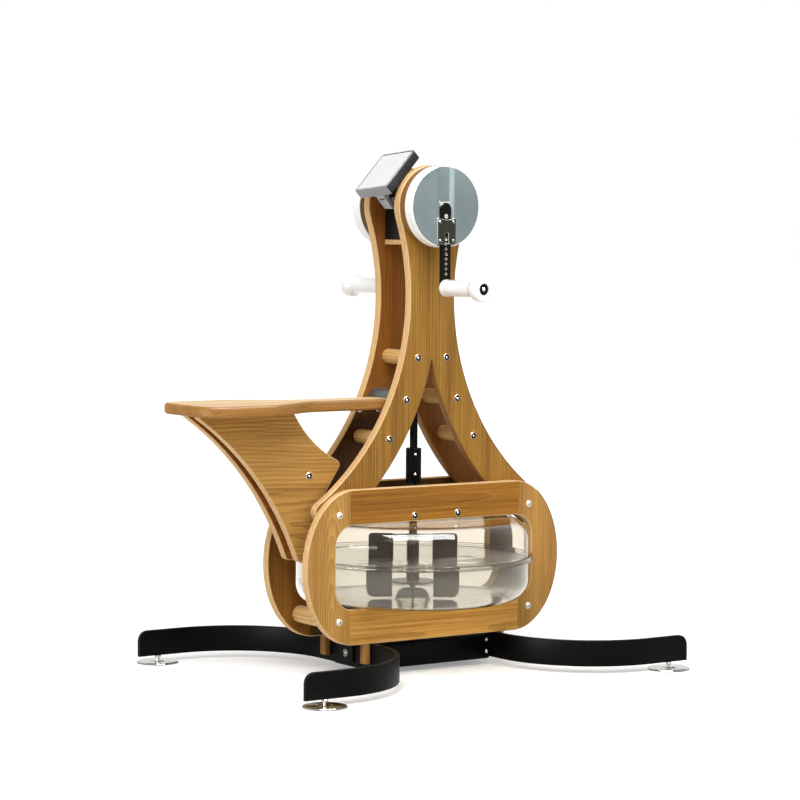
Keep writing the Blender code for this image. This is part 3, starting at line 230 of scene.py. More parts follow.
def surfaceFinish(name, colour, rough, metal, spread, size, bump, specular, stretch=(1.0, 1.0, 1.0), depth=0.0001,
                  coat=0.0):
    # Painted, moulded or metal surface: noise moves the colour and the roughness a little and gives the relief.
    mat, tree, shader = startFinish(name)
    roughSpread = 0.08
    place = addNode(tree, "TexCoord", {}).outputs["Object"]
    drawn = addNode(tree, "Mapping", {"Vector": place, "Scale": stretch}).outputs[0]
    cloud = addNode(tree, "TexNoise", {"Vector": drawn, "Scale": size, "Detail": 4.0, "Roughness": 0.55}).outputs["Fac"]
    gloss = addNode(tree, "MapRange", {"Value": cloud, "To Min": max(rough - roughSpread, 0.02),
                                       "To Max": rough + roughSpread})
    feed(tree, shader, {"Base Color": mixTones(tree, cloud, rgba(colour, 1.0 - spread), rgba(colour, 1.0 + spread)),
                        "Roughness": gloss.outputs[0], "Metallic": metal, "Coat Weight": coat,
                        "Specular IOR Level": specular})
    if bump:
        relief = addNode(tree, "Bump", {"Height": cloud, "Strength": bump, "Distance": depth})
        feed(tree, shader, {"Normal": relief.outputs[0]})
    return mat


def clearFinish(name, tint, ior, rough, waves, waveSize, clear):
    # Clear plastic or water: light passes and is tinted; noise gives the flow marks or ripples.
    mat, tree, shader = startFinish(name)
    place = addNode(tree, "TexCoord", {}).outputs["Object"]
    noise = addNode(tree, "TexNoise", {"Vector": place, "Scale": waveSize, "Detail": 2.0, "Roughness": 0.4})
    cloud = noise.outputs["Fac"]
    relief = addNode(tree, "Bump", {"Height": cloud, "Strength": waves, "Distance": 0.002})
    feed(tree, shader, {"Base Color": mixTones(tree, cloud, rgba(tint, 0.985), rgba(tint, 1.015)),
                        "Normal": relief.outputs[0], "Roughness": rough, "Transmission Weight": clear, "IOR": ior})
    return mat


# woods: the material's name, light and dark tone, the grain's axis, where the pith lies, a shift so that no two
# boards are alike, and for some ring pitch, contrast, figure, lean and the shares of rings and streaks
innerEndGrain = ("z", (0, 0.13, 0.36), (0.8, 0.03, 0))
seatGrain = ("x", (0, 0.03, -0.60), (0.9, 0, 0))
rimGrain = ("z", (0, 0.2, 0.3), (0.2, 0, 0), 0.007, 0.8)
discGrain = ("z", (0, 0.2, 0.1), (0.4, 0, 0), 0.006, 0.8)
dowelGrain = ("y", (0, 0.10, -0.5), (0.5, 0, 0))
bracketTones = ((0.600, 0.330, 0.082), (0.225, 0.095, 0.015))
woods = {
    "panel": ("oakPanel", (0.455, 0.236, 0.040), (0.152, 0.059, 0.006), "z", (0, 0.05, 0.33), (0, 0.02, 0)),
    # painted shade: the panels' inner faces take a darker copy of the oak, darker still below a height
    "panelInner": ("oakPanelInner", (0.370, 0.138, 0.018), (0.145, 0.044, 0.005), "z", (0, 0.07, -0.31),
                   (0.6, 0.05, 0.1)),
    "end": ("oakFrameEnd", (0.570, 0.315, 0.085), (0.250, 0.108, 0.018), "z", (0, 0.052, -0.27), (0.3, 0.01, 0),
            0.0062, 1.0, 0.030, 6.5, 0.46, 0.30),
    # painted shade: the frames' inner faces take darker copies of the oak, the deepest on the right-hand ends and the
    # rails
    "endInner": ("oakInnerEnd", (0.290, 0.125, 0.022), (0.120, 0.045, 0.006), *innerEndGrain),
    "endInnerDim": ("oakDimInnerEnd", (0.110, 0.050, 0.015), (0.045, 0.020, 0.005), *innerEndGrain),
    "block": ("oakBlock", (0.420, 0.165, 0.035), (0.190, 0.060, 0.010), "z", (0, 0.11, 0.42), (0.6, 0.02, 0)),
    "seatEdge": ("oakSeatEdge", (0.440, 0.215, 0.050), (0.230, 0.098, 0.018), *seatGrain, 0.006),
    "railTop": ("oakTopRail", (0.410, 0.180, 0.022), (0.185, 0.066, 0.006), "x", (0, 0.15, -0.46), (1.2, 0, 0)),
    "railLow": ("oakLowRail", (0.740, 0.405, 0.095), (0.360, 0.155, 0.024), "x", (0, 0.14, -0.10), (2.3, 0, 0)),
    "seat": ("oakSeat", (0.830, 0.600, 0.320), (0.460, 0.270, 0.100), *seatGrain),
    "bracket": ("oakBracket", *bracketTones, "x", (0, 0.12, -0.40), (4.1, 0, 0), 0.0095, 1.0, 0.075, 0.0, 0.34, 0.36),
    # painted shade: the brackets' inner faces, which look at each other, take a darker, redder copy
    "bracketInner": ("oakInnerBracket", (0.440, 0.150, 0.024), (0.215, 0.062, 0.008), "x", (0, 0.12, -0.40),
                     (4.6, 0, 0), 0.011),
    # the rims are lighter: end grain, and partly a painted highlight where the rounded edge catches the light
    "rim": ("oakRim", (0.800, 0.540, 0.265), (0.540, 0.320, 0.125), *rimGrain),
    # painted shade: a darker rim for edges that look down
    "rimUnder": ("oakRimUnder", (0.400, 0.200, 0.052), (0.220, 0.098, 0.020), *rimGrain),
    "rimShade": ("oakRimShade", (0.150, 0.080, 0.026), (0.080, 0.038, 0.011), *rimGrain),
    "headDisc": ("oakHeadDisc", (0.330, 0.155, 0.033), (0.150, 0.056, 0.010), *discGrain),
    # painted shade: a darker copy for the far head disc
    "headDiscFar": ("oakFarHeadDisc", (0.130, 0.062, 0.016), (0.060, 0.026, 0.006), *discGrain),
    "dowel": ("oakDowel", (0.780, 0.500, 0.190), (0.420, 0.210, 0.052), *dowelGrain),
    "dowelPale": ("oakPaleDowel", (0.900, 0.640, 0.300), (0.560, 0.320, 0.105), *dowelGrain),
    "bridge": ("oakBridge", *bracketTones, "x", (0, 0.05, -0.30), (5.0, 0, 0)),
}
shadedWoods = {"panelInner": (0.655, 0.72, 0.14, 0.70)}  # heights where shade ends, light left in it left and right
# painted, moulded and metal surfaces: the material's name, colour, roughness, metal, spread of the tone, size of the
# noise, relief, shine, and for some how the noise is drawn out, the relief's depth and a clear coat
even, alongY, alongZ = (1.0, 1.0, 1.0), (1.0, 0.04, 1.0), (1.0, 1.0, 0.15)
surfaces = {
    "blackSteel": ("blackPowderCoat", (0.0012, 0.0012, 0.0010), 0.42, 0.0, 0.25, 420.0, 0.35, 0.06, even, 0.00012),
    "blackMetal": ("blackBar", (0.0040, 0.0036, 0.0022), 0.36, 0.0, 0.25, 260.0, 0.15, 0.05, alongZ),
    "blackPlastic": ("blackMoulding", (0.0050, 0.0044, 0.0036), 0.42, 0.0, 0.2, 520.0, 0.3, 0.12),
    "screen": ("paleScreen", (0.700, 0.715, 0.710), 0.20, 0.0, 0.03, 7.0, 0.0, 0.15),
    "screenEdge": ("screenFrame", (0.50, 0.515, 0.525), 0.34, 0.0, 0.04, 30.0, 0.0, 0.2),
    "displayFoot": ("greyMoulding", (0.270, 0.270, 0.300), 0.40, 0.0, 0.06, 200.0, 0.15, 0.3),
    "greyMetal": ("greyCasting", (0.40, 0.405, 0.445), 0.42, 0.2, 0.08, 240.0, 0.2, 0.3),
    "coverMetal": ("greenBlackCover", (0.024, 0.026, 0.016), 0.34, 0.0, 0.2, 300.0, 0.2, 0.12),
    "discFold": ("discFold", (0.190, 0.234, 0.238), 0.34, 0.35, 0.05, 150.0, 0.08, 0.5, (1.0, 1.0, 0.05)),
    # painted shade: the disc's cut edge is dark
    "discRimShade": ("discRimShade", (0.050, 0.062, 0.064), 0.40, 0.2, 0.1, 150.0, 0.05, 0.15),
    "dullSteel": ("dullSteel", (0.24, 0.245, 0.225), 0.34, 1.0, 0.10, 300.0, 0.1, 0.5),
    "steel": ("brightSteel", (0.66, 0.655, 0.64), 0.24, 1.0, 0.05, 300.0, 0.05, 0.5),
    "clampGrey": ("greyClampBar", (0.115, 0.125, 0.125), 0.30, 0.6, 0.10, 260.0, 0.15, 0.2, alongY),
    "clampAlloy": ("brushedAlloy", (0.50, 0.485, 0.45), 0.34, 0.8, 0.10, 260.0, 0.15, 0.5, alongY),
    "whiteShell": ("whiteDrum", (0.90, 0.895, 0.88), 0.30, 0.0, 0.012, 26.0, 0.05, 0.5, even, 0.0002, 0.1),
    "whiteGrip": ("whiteGrip", (0.90, 0.895, 0.875), 0.18, 0.0, 0.015, 34.0, 0.04, 0.5, even, 0.0002, 0.4),
    "disc": ("discAlloy", (0.118, 0.152, 0.155), 0.40, 0.35, 0.18, 11.0, 0.08, 0.5, (1.0, 1.0, 0.8)),
    "smoke": ("smokeBlade", (0.030, 0.022, 0.013), 0.20, 0.0, 0.2, 40.0, 0.05, 0.25, even, 0.0002),
    "chrome": ("chromePad", (0.46, 0.45, 0.43), 0.12, 1.0, 0.03, 90.0, 0.02, 0.5),
    "rubber": ("blackRubber", (0.012, 0.012, 0.012), 0.62, 0.0, 0.2, 380.0, 0.3, 0.5, even, 0.0002),
}
# clear ones: the material's name, tint, how much light bends, roughness, waves, their size and how clear it is
clears = {
    "tank": ("clearTank", (0.88, 0.84, 0.765), 1.22, 0.010, 0.04, 14.0, 1.0),
    "tankFlange": ("clearFlange", (0.60, 0.57, 0.49), 1.28, 0.02, 0.04, 14.0, 1.0),
    "flangeLine": ("flangeLine", (0.10, 0.09, 0.07), 1.28, 0.05, 0.04, 14.0, 1.0),
    "water": ("water", (0.90, 0.91, 0.89), 1.05, 0.0, 0.30, 46.0, 0.88),
}
finishes = {key: oakFinish(*wood, shade=shadedWoods.get(key)) for key, wood in woods.items()}
finishes.update({key: surfaceFinish(*surface) for key, surface in surfaces.items()})
finishes.update({key: clearFinish(*clear) for key, clear in clears.items()})
print("finishes mixed:", len(finishes))


def gridFaces(rows, cols):
    # Quads between neighbouring rows and columns; the last column joins the first.
    row, col = np.arange(rows - 1)[:, None], np.arange(cols)[None, :]
    after = (col + 1) % cols
    quads = np.stack([row * cols + col, row * cols + after, (row + 1) * cols + after, (row + 1) * cols + col], -1)
    return quads.reshape(-1, 4)


def gridShell(points):
    # Rows of points, each a closed ring, as a shell in the first finish.
    faces = gridFaces(*points.shape[:2])
    return points.reshape(-1, 3), faces, [0] * len(faces)


def circleArc(cx, cy, r, start, end, steps):
    # Points at even angles from start to end degrees.
    t = np.radians(np.linspace(start, end, steps + 1))
    return np.stack([cx + r * np.cos(t), cy + r * np.sin(t)], -1)


def fullCircle(cx, cy, r, steps):
    # The whole circle, without its first point twice.
    return circleArc(cx, cy, r, 0, 360, steps)[:-1]


def roundedEdge(size, steps):
    # Quarter of a circle: how far each point stands in from the side and from the face.
    a = np.radians(np.linspace(0.0, 90.0, steps + 1))
    return size * (1 - np.sin(a)), size * (1 - np.cos(a))


def dropRepeats(points, closed=True):
    # Points that lie on the one before them go.
    gap = np.linalg.norm(points - np.roll(points, 1, 0), axis=1)
    if not closed:
        gap[0] = 1.0
    return points[gap > 1e-7]


def softCorners(corners, reach, steps=4, closed=True):
    # Each corner becomes the quadratic curve from a point one reach before it to one reach after it.
    p = np.asarray(corners, float)
    before, after = np.roll(p, 1, 0) - p, np.roll(p, -1, 0) - p
    lenBefore = np.maximum(np.linalg.norm(before, axis=1), 1e-9)
    lenAfter = np.maximum(np.linalg.norm(after, axis=1), 1e-9)
    r = np.minimum(np.asarray(reach, float) + np.zeros(len(p)), 0.49 * np.minimum(lenBefore, lenAfter))
    if not closed:
        r[[0, -1]] = 0.0
    a = p + before / lenBefore[:, None] * r[:, None]
    b = p + after / lenAfter[:, None] * r[:, None]
    s = np.linspace(0.0, 1.0, steps + 1)[None, :, None]
    curve = (1 - s) ** 2 * a[:, None] + 2 * s * (1 - s) * p[:, None] + s * s * b[:, None]
    return dropRepeats(curve.reshape(-1, 2), closed)


def openCorners(corners, reach, steps):
    # The same for a line with two ends, which are left out.
    return softCorners(corners, reach, steps, closed=False)[1:-1]


def arcThrough(p, q, r, steps):
    # The arc of radius r from p to q that bows to the right of the way there.
    a, b = np.asarray(p, float), np.asarray(q, float)
    chord = b - a
    length = np.linalg.norm(chord)
    centre = (a + b) / 2 + np.array((-chord[1], chord[0])) / length * math.sqrt(r * r - length * length / 4)
    t0 = math.atan2(*(a - centre)[::-1])
    turn = (math.atan2(*(b - centre)[::-1]) - t0 + math.pi) % (2 * math.pi) - math.pi
    t = t0 + turn * np.linspace(0, 1, steps + 1)
    return centre + r * np.stack([np.cos(t), np.sin(t)], -1)


def boxLoop(halfX, halfY, reach):
    # A rectangle with soft corners.
    return softCorners([(halfX, halfY), (-halfX, halfY), (-halfX, -halfY), (halfX, -halfY)], reach, 5)


def bothHalves(half):
    # A line from the middle plane to the middle plane, closed by its mirror image.
    return np.concatenate([half, (half * (-1, 1))[::-1]])


def jointEdges(loop, joint):
    # 1 for each edge that lies on a joint line |x| = joint, 0 for the rest; edge k runs from point k to point k + 1.
    onLine = np.abs(np.abs(loop[:, 0]) - joint) < 1e-5
    return (onLine & np.roll(onLine, -1)).astype(float)


def insetLoop(loop, distance, held):
    # Moves each point along the mean of its two edges' left normals, so that every edge moves by the distance.
    # A held edge stays on its line: with normals m, n, cosine c and distances p, q of the two edges, the point
    # moves by ((p - qc) m + (q - pc) n) / (1 - cc).
    ahead = np.roll(loop, -1, 0) - loop
    ahead /= np.linalg.norm(ahead, axis=1)[:, None]
    behind = np.roll(ahead, 1, 0)
    n1 = np.stack([-behind[:, 1], behind[:, 0]], -1)
    n2 = np.stack([-ahead[:, 1], ahead[:, 0]], -1)
    cosine = np.sum(n1 * n2, 1)
    moved = loop + distance * (n1 + n2) / np.maximum(1.0 + cosine, 0.25)[:, None]
    q = distance * (1 - held)
    p = np.roll(q, 1)
    sine = np.maximum(1 - cosine ** 2, 0.05)
    mixed = loop + (((p - q * cosine) / sine)[:, None] * n1 + ((q - p * cosine) / sine)[:, None] * n2)
    either, both = (held + np.roll(held, 1) > 0)[:, None], (held * np.roll(held, 1) > 0)[:, None]
    return np.where(both, loop, np.where(either, mixed, moved))


def loopArea(loop):
    # Half the sum of x times the next y less y times the next x: above zero where the loop runs anticlockwise.
    x, y = loop[:, 0], loop[:, 1]
    return 0.5 * np.sum(x * np.roll(y, -1) - y * np.roll(x, -1))


def plate(outer, low, high, edge, at=(0, 0, 0), u=(1, 0, 0), v=(0, 0, 1), w=(0, -1, 0), holes=(), steps=3,
          margin=0.0008, joint=-1.0, lowLook=0, holeLook=1, rimMark=None, shadeLook=0):
    # An outline carried through an edge profile: inset e(1 - sin a) and depth e(1 - cos a) at both faces.
    # A narrow flat ring keeps the shading of the faces even. The rim takes the second finish, save on a joint line.
    # rimMark may give another finish for each edge of the outline; where that is shadeLook, only the rounded edge
    # of the outer face takes it.
    inset, lift = roundedEdge(edge, steps)
    inset = np.concatenate([[edge + margin], inset, inset[::-1], [edge + margin]])
    depth = np.concatenate([[low], low + lift, high - lift[::-1], [high]])
    at, u, v, w = (np.asarray(k, float) for k in (at, u, v, w))
    points, faces, looks, caps, start = [], [], [], ([], []), 0
    for number, loop in enumerate([outer, *holes]):
        loop = dropRepeats(np.asarray(loop, float))
        if (loopArea(loop) > 0) != (number == 0):
            loop = loop[::-1]
        held = jointEdges(loop, joint)
        rings = np.stack([insetLoop(loop, d, held) for d in inset])
        rows, cols = len(depth), len(loop)
        world = at + rings[..., :1] * u + rings[..., 1:] * v + depth[:, None, None] * w
        points.append(world.reshape(-1, 3))
        faces += [tuple(f) for f in gridFaces(rows, cols) + start]
        look = np.full((rows - 1, cols), holeLook if number else 1)
        look[0], look[-1] = lowLook, 0
        if rimMark and number == 0:
            marked = rimMark(loop)
            shaded = marked == shadeLook
            look[1:-1] = np.where(shaded, 1, marked)
            look[-1 - steps:, shaded] = shadeLook
        look[:, held > 0] = 0
        looks += list(look.reshape(-1))
        for cap, row in zip(caps, (0, rows - 1)):
            cap.append((rings[row], start + row * cols))
        start += rows * cols
    for cap, look in zip(caps, (lowLook, 0)):
        ids = np.concatenate([first + np.arange(len(ring)) for ring, first in cap])
        filled = [range(len(ids))]
        if holes:
            filled = tessellate_polygon([[Vector((x, y, 0.0)) for x, y in ring] for ring, first in cap])
        faces += [tuple(ids[k] for k in face) for face in filled]
        looks += [look] * len(filled)
    return np.concatenate(points), faces, looks


def board(outline, thick, edge, y, side, **more):
    # A plate that stands along X, with its outer face towards one side.
    return plate(outline, -thick / 2, thick / 2, edge, (0, y, 0), w=(0, side, 0), **more)


def turned(profile, steps=48, at=(0, 0, 0), axis="z", side=1, look=0, closed=False, hexRows=(), hexAcross=0.0):
    # A profile of (radius, height) carried round the axis; a hex row's radius is a share of a hexagon's.
    profile = np.asarray(profile, float)
    t = 2 * np.pi * np.arange(steps) / steps
    r = profile[:, :1] + 0 * t
    hexagon = hexAcross / 2 / np.cos(np.mod(t + np.pi / 6, np.pi / 3) - np.pi / 6)
    for row in hexRows:
        r[row] = hexagon * profile[row, 0]
    a, b, c = r * np.cos(t), r * np.sin(t), profile[:, 1:] + 0 * t
    grid = {"z": (a, b, side * c), "y": (a, side * c, b), "x": (side * c, a, b)}[axis]
    points = np.stack(grid, -1).reshape(-1, 3) + np.asarray(at, float)
    last = len(profile) - 1
    faces = [tuple(f) for f in gridFaces(last + 1, steps)]
    ring = np.arange(steps)
    if closed:
        seam = [ring + last * steps, np.roll(ring, -1) + last * steps, np.roll(ring, -1), ring]
        faces += [tuple(f) for f in np.stack(seam, -1)]
    else:
        faces += [tuple(row * steps + ring) for row in (0, last) if profile[row, 0] > 1e-6]
    return points, faces, [look] * len(faces)


def rod(r, half, x, z, edge):
    # A cylinder along Y whose ends are rounded off.
    up, out = roundedEdge(edge, 3)
    rim = np.stack([r - out, half - up], -1)[::-1]
    return turned(np.concatenate([[(0.0, half)], rim, (rim * (1, -1))[::-1], [(0.0, -half)]]), 40, (x, 0, z), "y")


def swept(path, across, foot, lift, bottom, height):
    # A section carried along a path on the floor plan: the point is the path plus the section's offset along the
    # path's normal, and its height is bottom + foot * height(path) + lift.
    tangent = np.gradient(path, axis=0)
    tangent /= np.linalg.norm(tangent, axis=1)[:, None]
    normal = np.stack([-tangent[:, 1], tangent[:, 0]], -1)
    xy = path[:, None] + normal[:, None] * across[None, :, None]
    z = bottom + foot[None] * height[:, None] + lift[None]
    rows, cols = z.shape
    faces = [tuple(f) for f in gridFaces(rows, cols)]
    faces += [tuple(range(cols)), tuple((rows - 1) * cols + np.arange(cols))]
    return np.concatenate([xy, z[..., None]], -1).reshape(-1, 3), faces, [0] * len(faces)


def makePiece(name, shells, looks, body, nodes=(), sharp=38.0):
    # Joins the shells in one mesh, merges seams and poles, turns the faces outwards and puts it on its body.
    points = np.concatenate([s[0] for s in shells]) + (axisX, 0.0, 0.0)
    faces, marks, start = [], [], 0
    for pts, polys, marked in shells:
        faces += [tuple(int(i) + start for i in poly) for poly in polys]
        marks += list(marked)
        start += len(pts)
    mesh = bpy.data.meshes.new(name)
    mesh.from_pydata(points.tolist(), [], faces)
    mesh.polygons.foreach_set("material_index", np.asarray(marks, np.int32))
    bm = bmesh.new()
    bm.from_mesh(mesh)
    bmesh.ops.remove_doubles(bm, verts=bm.verts, dist=1e-6)
    bmesh.ops.recalc_face_normals(bm, faces=bm.faces)
    bm.to_mesh(mesh)
    bm.free()
    for look in looks:
        mesh.materials.append(finishes[look])
    mesh.shade_smooth()
    mesh.set_sharp_from_angle(angle=math.radians(sharp))
    piece = bpy.data.objects.new(name, mesh)
    bpy.context.scene.collection.objects.link(piece)
    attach(piece, body)
    if nodes:
        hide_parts(*nodes)
    return piece


def oakPiece(name, shells, looks, node):
    return makePiece(name, shells, looks, "frame", [node])


# side panels: head, neck and two curved legs in one board
panel = {"hubZ": 1.220, "neckDrop": 0.235, "neckHalf": 0.0705, "legW": 0.0883, "neckR": 0.6400, "endAngle": 58.0,
         "endR": 0.0578, "footReach": (0.0550, 0.009), "crownR": 0.0007, "inner": 0.0575, "thick": 0.025,
         "edge": 0.0026, "boltAngles": (13.55, 23.15, 32.75), "archTop": 0.83, "shade": (0.06, 1.20)}
hubZ = panel["hubZ"]
neckX = panel["neckHalf"] + panel["neckR"]
neckZ = hubZ - panel["neckDrop"]
headR = math.hypot(neckX, panel["neckDrop"]) - panel["neckR"]
archR = panel["neckR"] + panel["legW"]
outerY = panel["inner"] + panel["thick"]
headDisc = {"r": headR - 0.0028, "outer": 0.1046, "bore": 0.0137}  # round wooden disc glued to the head's outside


def onLeg(radius, angle):
    # Point at a radius and an angle below the centre of the neck's arc.
    a = math.radians(angle)
    return np.array((neckX - radius * math.cos(a), neckZ - radius * math.sin(a)))


def panelOutline(p):
    # Head arc, concave neck and leg arc, square foot with round corners, and the arch's arc back up, mirrored.
    tangent = math.degrees(math.atan2(-p["neckDrop"], neckX))
    head = circleArc(0.0, hubZ, headR, 90.0, tangent, 28)
    stop = p["endAngle"] - math.degrees(p["endR"] / p["neckR"])
    low = p["endAngle"] - math.degrees(p["endR"] / archR)
    leg = circleArc(neckX, neckZ, p["neckR"], 180.0 + tangent, 180.0 + stop, 60)[1:]
    corners = [leg[-1], onLeg(p["neckR"], p["endAngle"]), onLeg(archR, p["endAngle"]), onLeg(archR, low)]
    foot = openCorners(corners, (0, *p["footReach"], 0), 12)
    apex = neckZ - math.sqrt(archR ** 2 - (neckX - p["crownR"]) ** 2)
    high = math.degrees(math.asin((neckZ - apex) / archR))
    arch = circleArc(neckX, neckZ, archR, 180.0 + low, 180.0 + high, 44)
    x, z = arch[-1]
    crown = np.array([(x * 0.5, z + p["crownR"] * 0.45), (0.0, z + p["crownR"] * 0.55)])
    half = np.concatenate([head, leg, foot, arch, crown])
    return np.concatenate([half, (half * (-1, 1))[-2:0:-1]])


def archRim(loop):
    # The arch's edge, which looks down between the legs, takes the darker rim as painted shade, and the outer edge on
    # the right the rim with painted shade.
    away = np.hypot(neckX - np.abs(loop[:, 0]), neckZ - loop[:, 1])
    looks = np.where((away > archR - 0.002) & (loop[:, 1] < panel["archTop"]), 3, 1)
    right, top = panel["shade"]
    return np.where((loop[:, 0] > right) & (away < panel["neckR"] + 0.002) & (loop[:, 1] < top), 5, looks)


for side, word in sides:
    middleY = side * (panel["inner"] + panel["thick"] / 2)
    shell = board(panelOutline(panel), panel["thick"], panel["edge"], middleY, side, lowLook=4, rimMark=archRim,
                  shadeLook=5)
    ring = [(headDisc["bore"], outerY - 0.001), (headDisc["r"], outerY - 0.001), (headDisc["r"], headDisc["outer"]),
            (headDisc["bore"], headDisc["outer"])]
    disc = turned(softCorners(ring, (0.0005, 0.0005, 0.0016, 0.0008)), 96, (0, 0, hubZ), "y", side, 2, closed=True)
    # the far head disc takes the darker copy: painted shade
    discLook = "headDisc" if side < 0 else "headDiscFar"
    # the inner face takes the oak with painted shade
    oakPiece("sidePanel_" + word, [shell, disc], ["panel", "rim", discLook, "rimUnder", "panelInner", "rimShade"],
             "side_panel_" + word)
print("side panels done")

# oblong frames that hold the tank: two upright ends and two rails on each side
oblong = {"half": 0.403, "bottom": 0.0885, "top": 0.4915, "endLength": 0.145, "windowHalf": 0.314,
          "windowLow": 0.181, "windowHigh": 0.400, "windowR": 0.055, "railHalf": 0.270, "thick": 0.024,
          "edge": 0.0026, "shade": (0.335, 0.14)}
oblongIn = outerY + fit
oblongOut = oblongIn + oblong["thick"]


def oblongEdge(o, xFrom, top, steps):
    # Quarter of an ellipse from the end's tip back to a distance from the middle.
    mid, half = (o["top"] + o["bottom"]) / 2, (o["top"] - o["bottom"]) / 2
    start = o["half"] - o["endLength"]
    t = np.linspace(0.0, math.acos((xFrom - start) / o["endLength"]), steps + 1)
    return np.stack([start + o["endLength"] * np.cos(t), mid + (1 if top else -1) * half * np.sin(t)], -1)


def windowArc(o, top, start, end, steps):
    # Part of the window's round corner, from start to end degrees above or below the level line.
    z, turn = (o["windowHigh"] - o["windowR"], 1) if top else (o["windowLow"] + o["windowR"], -1)
    return circleArc(o["windowHalf"] - o["windowR"], z, o["windowR"], turn * start, turn * end, steps)


def windowTurn(o, x):
    # How far round the window's corner a joint at x lies.
    return math.degrees(math.acos((x - o["windowHalf"] + o["windowR"]) / o["windowR"]))


def endOutline(o):
    # The tip's ellipse from joint to joint, and the window's side with its two round corners.
    x = o["railHalf"] + fit / 2
    turn = windowTurn(o, x)
    return np.concatenate([oblongEdge(o, x, True, 30)[::-1], oblongEdge(o, x, False, 30)[1:],
                           windowArc(o, False, turn, 0.0, 14), windowArc(o, True, 0.0, turn, 14)])


def railOutline(o, top):
    # A straight outer edge between the ellipses and the window's edge between its round corners, mirrored.
    x = o["railHalf"] - fit / 2
    outer = [(o["half"] - o["endLength"], o["top"] if top else o["bottom"]), oblongEdge(o, x, top, 1)[-1]]
    line = np.concatenate([outer, windowArc(o, top, windowTurn(o, x), 90.0, 4)])
    return bothHalves(line if top else line[::-1])


def shadedTip(loop):
    # The outer edge at the right-hand tip lies in shade and takes the dark rim.
    right, low = oblong["shade"]
    return np.where((loop[:, 0] > right) & (loop[:, 1] > low), 3, 1)


for side, word in sides:
    place = (oblong["thick"], oblong["edge"], side * (oblongIn + oblong["thick"] / 2), side)
    for turn, end in ends:
        shell = board(endOutline(oblong) * (turn, 1), *place, joint=oblong["railHalf"] + fit / 2, lowLook=2,
                      rimMark=shadedTip, shadeLook=3)
        # the inner face takes the oak with painted shade, deeper on the right-hand end
        looks = ["end", "rim", "endInner" if turn < 0 else "endInnerDim", "rimShade"]
        oakPiece("frameEnd_%s_%s" % (word, end), [shell], looks, "tank_frame_%s_%s" % (word, end))
    for row, look in (("top", "railTop"), ("bottom", "railLow")):
        # the rail's inner face takes the deepest painted shade
        shell = board(railOutline(oblong, row == "top"), *place, joint=oblong["railHalf"] - fit / 2, lowLook=2)
        oakPiece("frameRail_%s_%s" % (word, row), [shell], [look, "rim", "endInnerDim"],
                 "tank_frame_%s_%s" % (word, row))
print("oblong frames done")

# dowels between the panels, the bridge over the tank and the gearbox shelf
dowels = {"legR": 0.0195, "cornerR": 0.0225, "cornerX": 0.304, "lowZ": 0.152, "highZ": 0.427, "edge": 0.0015}
bridge = {"halfX": 0.095, "low": 0.402, "thick": 0.026, "cornerR": 0.003, "edge": 0.0026, "room": 0.0018,
          "boltX": 0.069}
gearbox = {"halfX": 0.058, "low": 1.1335, "high": 1.268, "halfY": 0.0572, "shelfT": 0.013, "lidT": 0.020,
           "seam": 0.0009, "shelfR": 0.002, "shelfEdge": 0.0016, "shelfRoom": 0.0024}
shaftR = 0.0105
legBolts = [onLeg(panel["neckR"] + panel["legW"] / 2, angle) * (turn, 1) for turn, end in ends
            for angle in panel["boltAngles"]]
cornerBolts = [(turn * dowels["cornerX"], dowels[level]) for turn, end in ends for level in ("lowZ", "highZ")]
for k, (x, z) in enumerate(legBolts):
    if k != 1:  # the seat's clamp bar takes the place of this one
        word = "%s_%d" % ("left" if x < 0 else "right", k % 3 + 1)
        oakPiece("legDowel_" + word, [rod(dowels["legR"], panel["inner"] - fit, x, z, dowels["edge"])], ["dowel"],
                 "leg_dowel_" + word)
for turn, end in ends:
    for level, z, half, look in (("lower", dowels["lowZ"], outerY, "dowelPale"),
                                 ("upper", dowels["highZ"], panel["inner"], "dowel")):
        word = "%s_%s" % (end, level)
        shell = rod(dowels["cornerR"], half - fit, turn * dowels["cornerX"], z, dowels["edge"])
        oakPiece("cornerDowel_" + word, [shell], [look], "corner_dowel_" + word)
shell = plate(boxLoop(bridge["halfX"], outerY - fit, bridge["cornerR"]), bridge["low"], bridge["low"] + bridge["thick"],
              bridge["edge"], holes=[fullCircle(0, 0, shaftR + bridge["room"], 32)], **flat)
oakPiece("tankBridge", [shell], ["bridge", "rim"], "tank_bridge")
shelfTop = gearbox["low"] - fit
shell = plate(boxLoop(gearbox["halfX"], gearbox["halfY"], gearbox["shelfR"]), shelfTop - gearbox["shelfT"], shelfTop,
              gearbox["shelfEdge"], holes=[fullCircle(0, 0, shaftR + gearbox["shelfRoom"], 32)], **flat)
oakPiece("gearboxShelf", [shell], ["railLow", "rim"], "gearbox_shelf")
print("dowels, bridge and shelf done")

# seat board, its clamp bar and the two bracket plates
seat = {"low": 0.6905, "thick": 0.028, "endX": -0.710, "half": 0.130, "tipHalf": 0.050, "tipX": -0.045,
        "cornerR": 0.062, "taper": (-0.520, -0.330), "edge": 0.0075, "bolt": (-0.3544, 0.5263), "spacerR": 0.017,
        "clampR": 0.026}
bracket = {"thick": 0.023, "gap": 0.033, "frontX": -0.674, "backX": -0.400, "nose": (-0.252, 0.556),
           "toe": (-0.386, 0.305), "frontR": 0.775, "backR": 0.311, "lobeR": 0.035, "edge": 0.0022, "noseReach": 0.026,
           "noseTo": (-0.62, 0.785), "lobeArc": (112.0, -100.0), "heelIn": (0.052, 0.0), "toeUp": (-0.03, 0.07),
           "heelReach": (0.014, 0.011), "lip": ((-0.002, -0.010), (-0.0075, -0.0055), (-0.0105, 0.0))}


